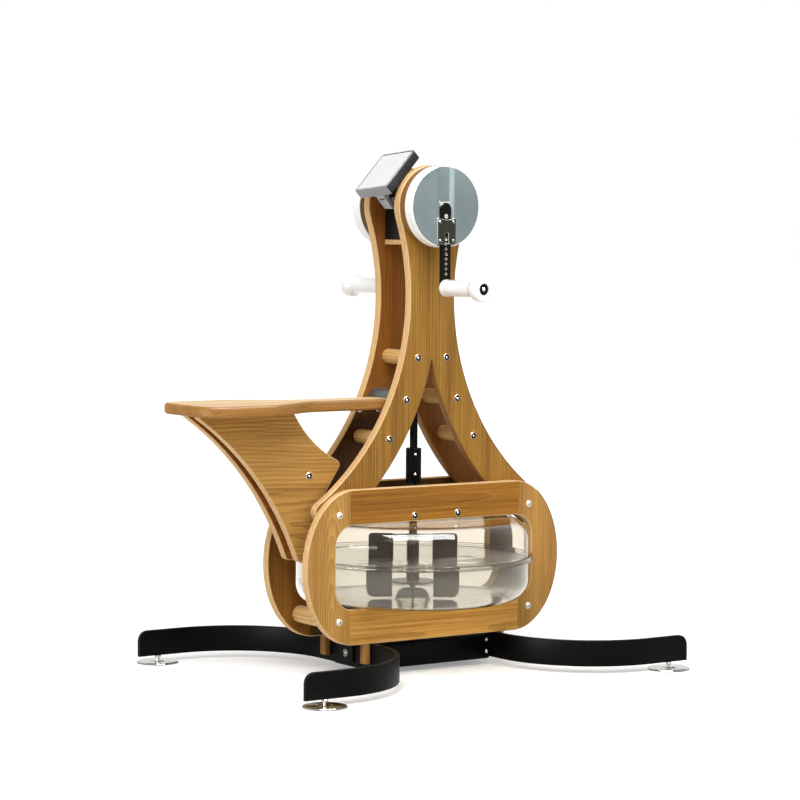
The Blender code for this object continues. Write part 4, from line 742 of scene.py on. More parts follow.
def seatOutline(s):
    # A paddle: round end corners, then the half width falls by the smooth step 3t^2 - 2t^3 to the narrow tip.
    corner = circleArc(s["endX"] + s["cornerR"], -s["half"] + s["cornerR"], s["cornerR"], 180, 270, 20)
    x = np.linspace(*s["taper"], 40)
    t = (x - s["taper"][0]) / (s["taper"][1] - s["taper"][0])
    waist = np.stack([x, -(s["half"] + (s["tipHalf"] - s["half"]) * t * t * (3 - 2 * t))], -1)
    tip = openCorners([waist[-1], (s["tipX"], -s["tipHalf"]), (s["tipX"], 0.0)], (0, 0.010, 0), 6)
    near = np.concatenate([corner, waist, tip])
    return np.concatenate([near, (near * (1, -1))[::-1]])


def bracketOutline(b):
    # Concave front and back edges, a nose by the leg, a lobe round the corner dowel and a lip under the seat.
    top = seat["low"] - fit
    nose, toe = np.array(b["nose"]), np.array(b["toe"])
    lobe = np.array((-dowels["cornerX"], dowels["highZ"]))
    back = arcThrough((b["backX"], top), nose, b["backR"], 24)
    noseTurn = openCorners([back[-6], nose, lobe + np.array(b["noseTo"]) * b["lobeR"]], (0, b["noseReach"], 0), 10)
    lobeArc = circleArc(*lobe, b["lobeR"], *b["lobeArc"], 30)
    heel = openCorners([lobeArc[-1], toe + b["heelIn"], toe, toe + b["toeUp"]], (0, *b["heelReach"], 0), 6)
    lip = [(b["frontX"] + x, top + z) for x, z in b["lip"]]
    front = arcThrough(heel[-1], lip[0], b["frontR"], 30)[1:]
    return np.concatenate([back[:-5], noseTurn, lobeArc, heel, front, lip[1:]])


shell = plate(seatOutline(seat), seat["low"], seat["low"] + seat["thick"], seat["edge"], steps=6, **flat)
oakPiece("seatBoard", [shell], ["seat", "seatEdge"], "seat_board")
clampX, clampZ = legBolts[1]
start = math.degrees(math.asin((seat["low"] + seat["thick"] + fit - clampZ) / seat["clampR"]))
loop = circleArc(clampX, clampZ, seat["clampR"], start, 180.0 - start, 40)
makePiece("seatClampBar", [plate(loop, -panel["inner"] + fit, panel["inner"] - fit, 0.0012)], ["clampGrey"] * 2,
          "frame", ["seat_clamp_bar"])
for side, word in sides:
    hole = fullCircle(-dowels["cornerX"], dowels["highZ"], dowels["cornerR"] + fit, 40)
    shell = board(bracketOutline(bracket), bracket["thick"], bracket["edge"],
                  side * (bracket["gap"] + bracket["thick"]) / 2, side, holes=[hole], lowLook=2)
    # the inner face takes the bracket oak with painted shade
    oakPiece("seatBracket_" + word, [shell], ["bracket", "rim", "bracketInner"], "seat_bracket_" + word)
oakPiece("bracketSpacer", [rod(seat["spacerR"], bracket["gap"] / 2 - fit, *seat["bolt"], 0.001)], ["dowel"],
         "bracket_spacer")
print("seat done")

# gearbox: black housing, its lid and the seam between them
lidZ, seam = gearbox["high"] - gearbox["lidT"], gearbox["seam"]
shells = [plate(boxLoop(gearbox["halfX"] - inset, gearbox["halfY"] - inset, reach), low, high, edge, **flat)
          for inset, reach, low, high, edge in ((0.0, 0.0045, gearbox["low"], lidZ - seam, 0.0012),
                                                (0.001, 0.004, lidZ - 2 * seam, lidZ + 2 * seam, 0.0002),
                                                (0.0, 0.0045, lidZ, gearbox["high"], 0.0030))]
makePiece("gearboxHousing", shells, ["blackPlastic"] * 2, "frame", ["gearbox_housing"])
print("gearbox done")

# crank: drums, folded discs, bars, cover plates and grips
crank = {"drumR": 0.1070, "drumBack": 0.1056, "drumFace": 0.1387, "web": 0.016, "rim": 0.007, "bossR": 0.034,
         "discR": 0.1031, "discFace": 0.1413, "discT": 0.0023, "channelW": 0.032, "channelDepth": 0.0083,
         "wallSlant": 0.0075, "bend": 0.0018, "grooveRoom": 0.003, "axleR": 0.0125,
         "barW": 0.031, "barT": 0.008, "barTop": 1.230, "gripZ": 1.0085, "holeR": 0.003, "holePitch": 0.013,
         "holeFirst": 1.045, "holes": 8, "coverHalf": 0.029, "coverZ": (1.122, 1.190), "coverT": 0.003,
         "coverHollow": 0.075, "notchR": 0.0057, "notchH": 0.026}
slidePad = {"halfX": 0.0158, "halfZ": 0.014, "z": 1.2185, "low": 0.00008, "high": 0.0003}
grip = {"r": 0.0215, "innerR": 0.0226, "endR": 0.0330, "endY": 0.3114, "capR": 0.0145, "start": 0.1419,
        "spindleR": 0.006, "capDrop": 0.0035, "capT": 0.004, "guardL": 0.0225, "flareL": 0.043, "flangeL": 0.008,
        "waistL": 0.016}
channelFloor = crank["discFace"] - crank["channelDepth"]
barMiddle = crank["discFace"] - crank["barT"] / 2
coverBack = crank["discFace"] + fit


def drumProfile(c):
    # Closed section of a cup that is open towards the panel: rim wall, web and boss.
    bore, back, face, webBack = c["axleR"] + fit, c["drumBack"], c["drumFace"], c["drumFace"] - c["web"]
    corners = [(bore, face), (c["drumR"], face), (c["drumR"], back), (c["drumR"] - c["rim"], back),
               (c["drumR"] - c["rim"], webBack), (c["bossR"], webBack), (c["bossR"], back), (bore, back)]
    return softCorners(corners, (0.0005, 0.0060, 0.0016, 0.001, 0.004, 0.003, 0.0015, 0.0005), 6)


def foldedDisc(c, side):
    # A thin sheet folded into a channel down the middle. Its section is walked along x, and at each x the sheet
    # fills the circle's chord; half circles of small bends join floor, walls and flats.
    r, t, bend = c["discR"], c["discT"], c["bend"]
    wall = c["channelW"] / 2 + t / 2
    brink = wall + c["wallSlant"]
    flatX = r * np.sin(np.linspace(-np.pi / 2, -math.asin((brink + bend) / r), 26))
    y0, y1 = c["discFace"] - t / 2, channelFloor - t / 2
    corner = softCorners([(flatX[-1], y0), (-brink, y0), (-wall, y1), (0.0, y1)], (0, bend, bend, 0), 4, closed=False)
    left = np.concatenate([np.stack([flatX[:-1], y0 + 0 * flatX[:-1]], -1), corner[:-1],
                           np.stack([np.linspace(-wall + 2 * bend, 0, 6)[1:], np.full(5, y1)], -1)])
    section = np.concatenate([left, (left * (-1, 1))[::-1][1:]])
    chord = np.sqrt(np.maximum(r * r - section[:, 0] ** 2, 0.0))
    share = np.linspace(-1, 1, 9)
    # front and back sheets are the section moved half a thickness along its normal
    tangent = np.gradient(section, axis=0)
    tangent /= np.maximum(np.linalg.norm(tangent, axis=1), 1e-9)[:, None]
    normal = np.stack([-tangent[:, 1], tangent[:, 0]], -1)
    sheets = []
    for turn in (1, -1):
        moved = section + normal * (turn * t / 2)
        moved[[0, -1], 0] = section[[0, -1], 0]
        sheets.append(np.stack([moved[:, :1] + 0 * share, side * moved[:, 1:] + 0 * share,
                                hubZ + chord[:, None] * share], -1)[:, ::turn])
    cols = len(share)
    loop = np.concatenate(sheets, 1)   # each row runs round the sheet's edge
    middle = np.abs(section[1:, 0] + section[:-1, 0]) / 2
    onWall = (middle > wall - bend) & (middle < brink + bend * 0.5)
    looks = np.repeat(onWall.astype(int)[:, None], 2 * cols, 1)
    # the sheet's cut edge takes the dark rim: painted shade
    looks[:, [cols - 1, 2 * cols - 1]] = 2     # the sheet's cut edge
    return loop.reshape(-1, 3), gridFaces(len(section), 2 * cols), looks.reshape(-1)


def cutAway(piece, size, centre):
    # Takes a box out of a finished piece.
    corners = np.array([(x, y, z) for x in (-1, 1) for y in (-1, 1) for z in (-1, 1)]) * np.asarray(size) / 2
    mesh = bpy.data.meshes.new("cut")
    mesh.from_pydata((corners + centre + (axisX, 0, 0)).tolist(), [],
                     [(0, 1, 3, 2), (4, 6, 7, 5), (0, 4, 5, 1), (2, 3, 7, 6), (0, 2, 6, 4), (1, 5, 7, 3)])
    cutter = bpy.data.objects.new("cut", mesh)
    bpy.context.scene.collection.objects.link(cutter)
    mod = piece.modifiers.new("cut", "BOOLEAN")
    mod.operation, mod.solver, mod.object = "DIFFERENCE", "EXACT", cutter
    cut = bpy.data.meshes.new_from_object(piece.evaluated_get(bpy.context.evaluated_depsgraph_get()))
    piece.modifiers.clear()
    piece.data = cut
    bpy.data.objects.remove(cutter, do_unlink=True)
    cut.set_sharp_from_angle(angle=math.radians(38))


def barShell(c, side):
    # A flat bar with half circles at both ends and a row of holes at an even pitch.
    half = c["barW"] / 2
    loop = np.concatenate([circleArc(0, c["barTop"] - half, half, 0, 180, 28),
                           circleArc(0, c["gripZ"], half, 180, 360, 28)])
    holes = [fullCircle(0, c["holeFirst"] + c["holePitch"] * k, c["holeR"], 20) for k in range(c["holes"])]
    return board(loop, c["barT"] - 0.0002, 0.0007, side * barMiddle, side, holes=holes, steps=2, margin=0.0004,
                 holeLook=2)


def coverOutline(c):
    # A box with cut corners, an arc that bows down for its top edge and a round-ended notch from below that shows
    # the index holes.
    (low, high), half, notch = c["coverZ"], c["coverHalf"], c["notchR"]
    top = arcThrough((half - 0.004, high), (-half + 0.004, high), c["coverHollow"], 20)
    top[:, 1] = high - np.abs(top[:, 1] - high)
    slot = circleArc(0, low + c["notchH"], notch, 180, 0, 14)
    return np.concatenate([[(half, low + 0.003), (half, high - 0.003)], top,
                           [(-half, high - 0.003), (-half, low + 0.003), (-half + 0.003, low), (-notch, low)], slot,
                           [(notch, low), (half - 0.003, low)]])


def gripProfile(g):
    # Closed section: inner flange, slim handle, flared guard with a recess for the cap.
    bore, end, start, capR = g["spindleR"] + fit, g["endY"], g["start"], g["capR"] + 0.0006
    seatCap = end - g["capDrop"] - g["capT"] - fit
    corners = [(bore, seatCap), (capR, seatCap), (capR, end), (g["endR"] * 0.70, end), (g["endR"], end - 0.001),
               (g["endR"], end - g["guardL"]), (g["r"] + 0.0008, end - g["flareL"]), (g["r"], start + g["waistL"]),
               (g["r"] + 0.0001, start + g["flangeL"] + 0.002), (g["innerR"], start + g["flangeL"]),
               (g["innerR"], start), (bore, start)]
    reach = (0.0003, 0.0003, 0.0012, 0.003, 0.0085, 0.0060, 0.0055, 0.004, 0.0008, 0.0012, 0.0020, 0.0003)
    return softCorners(corners, reach, 5)


def spindleProfile(g):
    # Spindle that stands in the bar, with its round cap.
    end, foot, cap = g["endY"] - g["capDrop"], barMiddle + 0.003, g["capR"]
    return [(0.0, end), (cap - 0.001, end), (cap, end - 0.001), (cap, end - g["capT"]),
            (g["spindleR"], end - g["capT"]), (g["spindleR"], foot), (0.0, foot)]


grooveW = crank["channelW"] + 2 * crank["discT"] + 2 * crank["wallSlant"] + crank["grooveRoom"]
grooveFloor = channelFloor - crank["discT"] - fit
cutDepth = 0.05   # far enough out to clear the drum's face
for side, word in sides:
    atHub, atGrip = (0, 0, hubZ), (0, 0, crank["gripZ"])
    drum = makePiece("drum_" + word, [turned(drumProfile(crank), 96, atHub, "y", side, closed=True)], ["whiteShell"],
                     "crank", ["drum_" + word], 30)
    cutAway(drum, (grooveW, cutDepth, 0.4), (0, side * (grooveFloor + cutDepth / 2), hubZ))
    makePiece("faceDisc_" + word, [foldedDisc(crank, side)], ["disc", "discFold", "discRimShade"], "crank",
              ["face_disc_" + word], 45)
    # a thin bright sheet on the channel's floor, behind the bar's round end
    shell = plate(boxLoop(slidePad["halfX"], slidePad["halfZ"], 0.001), slidePad["low"], slidePad["high"], 0.00005,
                  (0.0, side * channelFloor, slidePad["z"]), w=(0, side, 0), steps=1, margin=0.0002)
    makePiece("slidePad_" + word, [shell], ["steel"] * 2, "crank", sharp=30)
    shell = plate(coverOutline(crank), 0.0, crank["coverT"], 0.0006, (0, side * coverBack, 0), w=(0, side, 0), steps=2)
    makePiece("barCover_" + word, [shell], ["coverMetal", "clampAlloy"], "crank", ["bar_clamp_" + word],
              30)
    makePiece("crankBar_" + word, [barShell(crank, side), turned(spindleProfile(grip), 36, atGrip, "y", side)],
              ["blackMetal", "blackMetal", "steel"], "bar_" + word, ["crank_bar_" + word], 30)
    makePiece("grip_" + word, [turned(gripProfile(grip), 64, atGrip, "y", side, closed=True)], ["whiteGrip"],
              "grip_" + word, ["grip_" + word], 50)
print("crank done")

# drive line: coupling, and the impeller with four blades
coupling = {"r": 0.0207, "z": (0.490, 0.582), "screwZ": (0.5125, 0.5655), "screwTurn": -20.0,
            "screwIn": 0.0008}
impeller = {"bladeR": (0.052, 0.118), "bladeZ": (0.189, 0.363), "bladeT": 0.004, "bladeTurn": -34.6,
            "bladeReach": (0.001, 0.022, 0.016, 0.001), "discR": 0.058, "discT": 0.005, "z": (0.226, 0.358),
            "hubR": 0.0165, "jointZ": 0.536, "pivotTop": 0.2113, "pivotR": 0.0055, "pivotL": 0.0137}


def impellerCore(i):
    # Shaft, upper disc, hub tube and lower disc down to the pivot, as one profile from the top.
    (bottom, top), disc, hub, pivot = i["z"], i["discR"], i["hubR"], i["pivotTop"]
    return [(0.0, i["jointZ"] - fit), (shaftR, i["jointZ"] - fit), (shaftR, top + 0.004), (0.030, top + 0.002),
            (disc, top), (disc, top - i["discT"]), (hub, top - i["discT"]), (hub, bottom + i["discT"]),
            (disc, bottom + i["discT"]), (disc, bottom), (0.012, bottom), (i["pivotR"], pivot + 0.001),
            (i["pivotR"], pivot - i["pivotL"]), (0.0, pivot - i["pivotL"])]


def impellerBlade(i, number):
    # An upright plate between two radii, at a right angle to the next one, with rounder outer corners.
    t = math.radians(90 * number + i["bladeTurn"])
    corners = [(i["bladeR"][a], i["bladeZ"][b]) for a, b in ((0, 0), (1, 0), (1, 1), (0, 1))]
    return plate(softCorners(corners, i["bladeReach"], 8), -i["bladeT"] / 2, i["bladeT"] / 2, 0.0012,
                 u=(math.cos(t), math.sin(t), 0), w=(-math.sin(t), math.cos(t), 0), steps=2)


low, high = coupling["z"]
corners = [(shaftR + fit, high), (coupling["r"], high), (coupling["r"], low), (shaftR + fit, low)]
makePiece("shaftCoupling", [turned(softCorners(corners, (0.0003, 0.0016, 0.0016, 0.0003)), 56, closed=True)],
          ["blackSteel"], "drive", ["shaft_coupling"], 40)
makePiece("impeller", [turned(impellerCore(impeller))] + [impellerBlade(impeller, k) for k in range(4)],
          ["smoke"] * 2, "drive", ["impeller"], 40)
print("drive line done")

# tank: two clear halves with a flange between them, and the water inside
tank = {"r": 0.311, "flangeR": 0.3175, "flangeT": 0.0065, "lipT": 0.0019, "split": 0.2945, "top": 0.3965,
        "bottom": 0.1813, "wall": 0.0045, "topCorner": 0.052, "lowCorner": 0.058, "bossR": 0.045, "collar": 0.006}
# waves: height, number round the tank, turn for each metre outwards and the radius where they begin to calm down
water = {"z": 0.2885, "gap": 0.0006, "steps": 160, "rings": 40, "fade": 0.03, "long": (0.0022, 3, 30, 0.05),
         "short": (0.0014, 7, -55, 0.06)}
floorZ = tank["bottom"] + tank["wall"]
pivotTop = impeller["pivotTop"]


def tankHalf(t, upper):
    # Outer quarter round, flange and inner quarter round of one half, from the axis outwards.
    sign = 1 if upper else -1
    face, corner = (t["top"], t["topCorner"]) if upper else (t["bottom"], t["lowCorner"])
    split = t["split"] + sign * fit / 2
    rise = split + sign * t["flangeT"]
    cx, cz = t["r"] - corner, face - sign * corner
    edge = softCorners([(t["r"], split + sign * 0.012), (t["r"], rise), (t["flangeR"], rise),
                        (t["flangeR"], rise - sign * t["lipT"]), (t["flangeR"], split), (t["r"] - t["wall"], split)],
                       (0, 0.001, 0.0008, 0, 0.0004, 0), 3, closed=False)
    return np.concatenate([circleArc(cx, cz, corner, sign * 90.0, 0.0, 16), edge,
                           circleArc(cx, cz, corner - t["wall"], 0.0, sign * 90.0, 14)])


def flangeLooks(shell, t):
    # The faces of the flange, further out than the wall, take the darker clear finish, and its lips the darkest.
    points, faces, looks = shell
    reach = np.hypot(points[:, 0], points[:, 1])
    quads = np.array([f[:4] for f in faces])
    onFlange = (reach[quads].min(1) > t["r"] - 1e-6) & (reach[quads].max(1) > t["r"] + 0.0005)
    nearEdge = np.abs(points[quads, 2].mean(1) - t["split"]) > t["flangeT"] - t["lipT"]
    return points, faces, np.where(onFlange, np.where(nearEdge, 2, 1), 0)


def waterBody(t, w):
    # Top: a polar grid whose height is a sum of two sine waves that die out towards the wall. Below: the tank's
    # inner shape less a small gap.
    angle = 2 * np.pi * np.arange(w["steps"]) / w["steps"]
    wallR = t["r"] - t["wall"] - w["gap"]
    r = np.linspace(0.0, wallR, w["rings"])[:, None]
    fade = np.clip((wallR - r) / w["fade"], 0, 1)
    (tall, count, turn, calm), (shortTall, shortCount, shortTurn, shortCalm) = w["long"], w["short"]
    short = shortTall * np.sin(shortCount * angle + shortTurn * r) * np.minimum(r / shortCalm, 1)
    wave = fade * (tall * np.sin(count * angle + turn * r) + short) * np.minimum(r / calm, 1)
    surface = np.stack([r * np.cos(angle), r * np.sin(angle), w["z"] + wave], -1)
    curve = circleArc(t["r"] - t["lowCorner"], t["bottom"] + t["lowCorner"], t["lowCorner"] - t["wall"] - w["gap"],
                      0.0, -90.0, 16)
    below = np.concatenate([curve, [(t["bossR"] + 0.002, floorZ + w["gap"]),
                                    (t["bossR"] * 0.85 + 0.002, pivotTop - 0.007), (0.0, pivotTop + 0.001)]])
    lower = np.stack([below[:, :1] * np.cos(angle), below[:, :1] * np.sin(angle), below[:, 1:] + 0 * angle], -1)
    return gridShell(np.concatenate([surface, lower]))


bore, neck = shaftR + 4 * fit, shaftR + tank["collar"]
upper = np.concatenate([[(bore, tank["top"] + 0.004), (neck, tank["top"] + 0.004), (neck, tank["top"])],
                        tankHalf(tank, True), [(bore, tank["top"] - tank["wall"])]])
boss = [(0.0, pivotTop - 0.014), (0.0061, pivotTop - 0.014), (0.0061, pivotTop), (tank["bossR"] * 0.55, pivotTop),
        (tank["bossR"] * 0.85, pivotTop - 0.008), (tank["bossR"], floorZ)]
lower = np.concatenate([boss, tankHalf(tank, False)[::-1], [(0.0, tank["bottom"])]])
for word, profile, closed in (("Upper", upper, True), ("Lower", lower, False)):
    makePiece("tank" + word, [flangeLooks(turned(profile, 160, closed=closed), tank)],
              ["tank", "tankFlange", "flangeLine"], "frame", ["tank_" + word.lower()], 50)
makePiece("water", [waterBody(tank, water)], ["water"], "frame", sharp=60)
print("tank and water done")

# display: housing with a sunk screen on a tilting knuckle, carried by an arm on the gearbox
display = {"centre": (-0.0902, 0.0, 1.3040), "tilt": 45.8, "twist": 7.0, "w": 0.1315, "l": 0.1428, "t": 0.028,
           "cornerR": 0.0085, "faceT": 0.008, "border": 0.0055, "screenT": 0.002, "screenGap": 0.0010,
           "footBand": 0.0042}
knuckle = {"drop": 0.050, "back": 0.0165, "r": 0.0075, "w": 0.027, "footR": 0.017, "footT": 0.005}
arm = {"earT": 0.0045, "pinR": 0.0025, "bend": (-0.085, 1.2135), "flangeH": 0.030, "t": 0.005, "web": 0.028}
tilt, twist = math.radians(display["tilt"]), math.radians(display["twist"])
acrossDir = np.array((0.0, -1.0, 0.0))
slopeDir = np.array((math.sin(tilt), 0.0, math.cos(tilt)))
faceDir = np.cross(acrossDir, slopeDir)
centre = np.array(display["centre"])
hinge = centre - faceDir * (display["t"] / 2 + knuckle["back"]) - slopeDir * knuckle["drop"]
onFace = dict(at=centre, u=acrossDir * math.cos(twist) + slopeDir * math.sin(twist),
              v=slopeDir * math.cos(twist) - acrossDir * math.sin(twist), w=faceDir)


def housingLooks(shell, d):
    # The face round the screen is pale, the wall below the screen's foot is grey, and the rest is black.
    points, faces, looks = shell
    middles = np.array([points[list(f)].mean(0) for f in faces]) - centre
    across, slope, raised = (middles @ onFace[k] for k in "uvw")
    onTop = raised > d["t"] / 2 - 0.0005
    atFoot = (slope < -d["l"] / 2 + d["footBand"]) & (np.abs(across) < d["w"] / 2 - 0.001)
    return points, faces, np.where(onTop, 0, np.where(atFoot, 2, 1))


def displayShells(d):
    # The body up to the screen's back, the frame round the screen, and the screen itself.
    outline, front = boxLoop(d["w"] / 2, d["l"] / 2, d["cornerR"]), d["t"] / 2
    pocketW, pocketL = d["w"] / 2 - d["border"], d["l"] / 2 - d["border"]
    return (plate(outline, -front, front - d["screenT"] - fit, 0.003, steps=5, **onFace),
            plate(outline, front - d["faceT"], front, 0.0034, holes=[boxLoop(pocketW, pocketL, 0.003)], margin=0.0005,
                  **onFace),
            plate(boxLoop(pocketW - d["screenGap"], pocketL - d["screenGap"], 0.003), front - d["screenT"],
                  front - 0.0004, 0.0004, steps=2, margin=0.0004, **onFace))


def knuckleFoot(k):
    # The round foot under the housing, turned about the display's own axis.
    at = hinge + faceDir * (k["back"] - k["footT"] - fit)
    ring = np.array([(0.0, 0.0), (k["footR"] - 0.0015, 0.0), (k["footR"], 0.0015), (k["footR"], k["footT"]),
                     (0.0, k["footT"])])
    angle = 2 * np.pi * np.arange(40)[:, None] / 40
    outwards = np.cos(angle) * slopeDir + np.sin(angle) * acrossDir
    return gridShell(at + ring[:, None, :1] * outwards + ring[:, None, 1:] * faceDir)


def armShells(a, k):
    # A folded sheet (flange on the gearbox, foot, sloping web) between two ears that hold the hinge pin.
    frontX = -gearbox["halfX"] - fit
    (bendX, bendZ), t, earIn = a["bend"], a["t"], k["w"] / 2 + fit
    top = bendZ + a["flangeH"]
    fold = [(frontX, bendZ), (frontX, top), (frontX - t, top), (frontX - t, bendZ + t), (bendX + t, bendZ + t)]
    ear = np.concatenate([fold, circleArc(hinge[0], hinge[2], k["r"] + 0.0005, 20, 215, 22), [(bendX, bendZ)]])
    shells = [plate(ear, low, low + a["earT"], 0.0012, margin=0.0004) for low in (-earIn - a["earT"], earIn)]
    slope = hinge[[0, 2]] - (bendX, bendZ)
    slope /= np.linalg.norm(slope)
    right = np.array((slope[1], -slope[0]))
    left = slope * a["web"] - right * 0.004 + (bendX, bendZ)
    web = np.concatenate([fold, [left + right * 0.010, left, (bendX, bendZ)]])
    half = earIn + a["earT"] - 0.0004
    pin = turned([(0, half), (a["pinR"], half), (a["pinR"], -half), (0, -half)], 20, hinge, "y")
    return shells + [plate(web, -earIn - 0.001, earIn + 0.001, 0.0008, steps=2, margin=0.0004), pin]


housing, face, screen = displayShells(display)
makePiece("displayHousing", [housingLooks(housing, display), housingLooks(face, display)],
          ["screenEdge", "blackPlastic", "displayFoot"], "display", ["display_housing"], 40)
makePiece("displayScreen", [screen], ["screen"] * 2, "display", ["display_screen"], 40)
lugTop = knuckle["back"] - 0.003
lug = np.concatenate([circleArc(0, 0, knuckle["r"], 180, 360, 20), [(knuckle["r"], lugTop), (-knuckle["r"], lugTop)]])
lugShell = plate(lug, -knuckle["w"] / 2, knuckle["w"] / 2, 0.001, hinge, slopeDir, faceDir, acrossDir)
makePiece("displayKnuckle", [lugShell, knuckleFoot(knuckle)], ["greyMetal"] * 2, "display_tilt",
          ["display_knuckle"], 40)
makePiece("displayArm", armShells(arm, knuckle), ["greyMetal"] * 2, "frame", ["display_bracket"], 40)
print("display done")

# base: two bent strips, the beam, end plates, mounting blocks and four screw feet
strip = {"t": 0.012, "low": 0.0195, "high": 0.0882, "midX": 0.2006, "straight": 0.1365, "r": 0.2734, "endX": 0.602,
         "endR": 0.026, "edge": 0.0016}
beam = {"halfX": 0.1943, "z": (0.014, 0.080), "wall": 0.004, "cornerR": 0.008, "holeR": 0.005, "boltX": 0.186,
        "boltZ": (0.0345, 0.0662)}
endPlate = {"w": 0.064, "h": 0.044, "cornerR": 0.004, "edge": 0.0012, "boltZ": 0.052}
foot = {"x": 0.544, "padR": 0.056, "padT": 0.0045, "studR": 0.0042, "studTop": 0.040, "nutAcross": 0.0145,
        "nutZ": (0.0133, 0.0189), "chamfer": 0.0008}
cornerX = strip["midX"] + strip["r"]
footY = strip["straight"] + strip["r"]


def stripPath(b):
    # Straight from the end to the quarter circle, round it, and along the middle part, mirrored.
    tip = b["endX"] - b["endR"] * (1 - np.cos(np.radians(np.linspace(0, 90, 10))))
    x = np.concatenate([tip, np.linspace(tip[-1], cornerX, 6)[1:-1]])
    upper = np.concatenate([np.stack([x, footY + 0 * x], -1), circleArc(cornerX, b["straight"], b["r"], 90, 180, 48)])
    middle = np.stack([np.full(7, b["midX"]), np.linspace(b["straight"], -b["straight"], 9)[1:-1]], -1)
    return np.concatenate([upper, middle, (upper * (1, -1))[::-1]])


def stripShell(b, turn):
    # The section is a flat bar on edge with rounded edges. It is at full height, less the drop of a quarter circle
    # near each end.
    path = stripPath(b)
    reach = np.clip(b["endX"] - path[:, 0], 0, b["endR"])
    height = b["high"] - b["endR"] + np.sqrt(np.maximum(b["endR"] ** 2 - (b["endR"] - reach) ** 2, 0)) - b["low"]
    inwards, up = roundedEdge(b["edge"], 3)
    across = 0.5 * b["t"] - np.concatenate([inwards, inwards[::-1]])
    lift = np.concatenate([up, -up[::-1]])
    across, lift = np.concatenate([across, -across[::-1]]), np.concatenate([lift, lift[::-1]])
    points, faces, looks = swept(path, across, np.repeat([0.0, 1.0, 0.0], (4, 8, 4)), lift, b["low"], height)
    return points * (turn, 1, 1), faces, looks


def solidBox(name):
    # Middle and half size of a solid's box, counted from the drive shaft's axis.
    low, high = (np.array(k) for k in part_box(name))
    return (low + high) / 2 - (axisX, 0, 0), (high - low) / 2


def footShells(f, x, y):
    # Pad with a dark lower rim, and the plain stud.
    r, t, s, top = f["padR"], f["padT"], f["studR"], f["studTop"]
    pad = [(0.0, 0.0), (r - 0.0012, 0.0), (r, 0.0008), (r, t * 0.45), (r - 0.0012, t * 0.85), (r - 0.006, t),
           (0.022, t + 0.0004), (0.016, t + 0.0022), (0.0, t + 0.0022)]
    points, faces, looks = turned(softCorners(pad, 0.0006, 3, closed=False), 64, (x, y, 0))
    looks = [int(max(points[list(f), 2]) < t * 0.5) for f in faces]
    stud = turned([(0.0, t), (s, t), (s, top - 0.001), (s - 0.001, top), (0.0, top)], 20, (x, y, 0))
    return [(points, faces, looks), stud]


def lockNut(f, x, y):
    # A hexagon nut with chamfered faces, drawn up against the strip, where it stays.
    (low, high), bore, c = f["nutZ"], f["studR"] + 0.0003, f["chamfer"]
    profile = [(bore, low), (0.88, low), (1.0, low + c), (1.0, high - c), (0.88, high), (bore, high)]
    return turned(profile, 24, (x, y, 0), closed=True, hexRows=(1, 2, 3, 4), hexAcross=f["nutAcross"])


for turn, word in ends:
    makePiece("baseStrip_" + word, [stripShell(strip, turn)], ["blackSteel"], "frame",
              ["base_strip_" + word], 40)
low, high = beam["z"]
halfZ = (high - low) / 2
hole = boxLoop(outerY - beam["wall"], halfZ - beam["wall"], beam["holeR"])
shell = plate(boxLoop(outerY, halfZ, beam["cornerR"]), -beam["halfX"], beam["halfX"], 0.0006, (0, 0, (low + high) / 2),
              holes=[hole], steps=2, margin=0.0004, **facingX)
makePiece("baseBeam", [shell], ["blackSteel"] * 2, "frame", ["base_beam"], 40)
for turn, word in ends:
    middle, half = solidBox("end_plate_" + word)
    shell = plate(boxLoop(endPlate["w"] / 2, endPlate["h"] / 2, endPlate["cornerR"]), -half[0], half[0],
                  endPlate["edge"], middle, **facingX)
    makePiece("endPlate_" + word, [shell], ["blackMetal"] * 2, "frame", ["end_plate_" + word], 40)
    for side, sideWord in sides:
        name = "mount_block_%s_%s" % (word, sideWord)
        middle, half = solidBox(name)
        shell = plate(boxLoop(half[0], half[1], 0.002), -half[2], half[2], 0.0012, middle, **flat)
        # the blocks' rims take the darker rim: painted shade
        oakPiece("mountBlock_%s_%s" % (word, sideWord), [shell], ["block", "rimUnder"], name)
lockNuts = []
for turn, word in ends:
    for side, sideWord in sides:
        at = (turn * foot["x"], side * footY)
        lockNuts.append(lockNut(foot, *at))
        name = "foot_%s_%s" % (word, sideWord)
        makePiece("screwFoot_%s_%s" % (word, sideWord), footShells(foot, *at), ["chrome", "rubber"], name,
                  [name], 30)
makePiece("lockNuts", lockNuts, ["chrome"], "frame", sharp=30)
print("base done")


def headShell(rows, at, axis, side, dark, **hexagon):
    # A screw's head from its profile; the faces between the two dark rows take the second finish.
    steps = 24
    points, faces, looks = turned(rows, steps, at, axis, side, **hexagon)
    first, last = dark
    return points, faces, [int(first * steps <= k < last * steps) for k in range(len(faces))]


# bolt heads: radius of the dome and of the washer, and the dome's height
heads = {"frame": (0.0062, 0.0090, 0.0042), "endPlate": (0.0072, 0.0105, 0.0042), "strap": (0.0052, 0.0066, 0.0030),
         "beam": (0.0046, 0.0060, 0.0030), "coupling": (0.0030, 0.0034, 0.0014), "grip": (0.0040, 0.0050, 0.0030)}
# bolts sunk in sleeves: radius of the sleeve, width of its rim and radius of the bolt's head
sleeves = {"frame": (0.0090, 0.0008, 0.0027), "cover": (0.0043, 0.0006, 0.0011)}


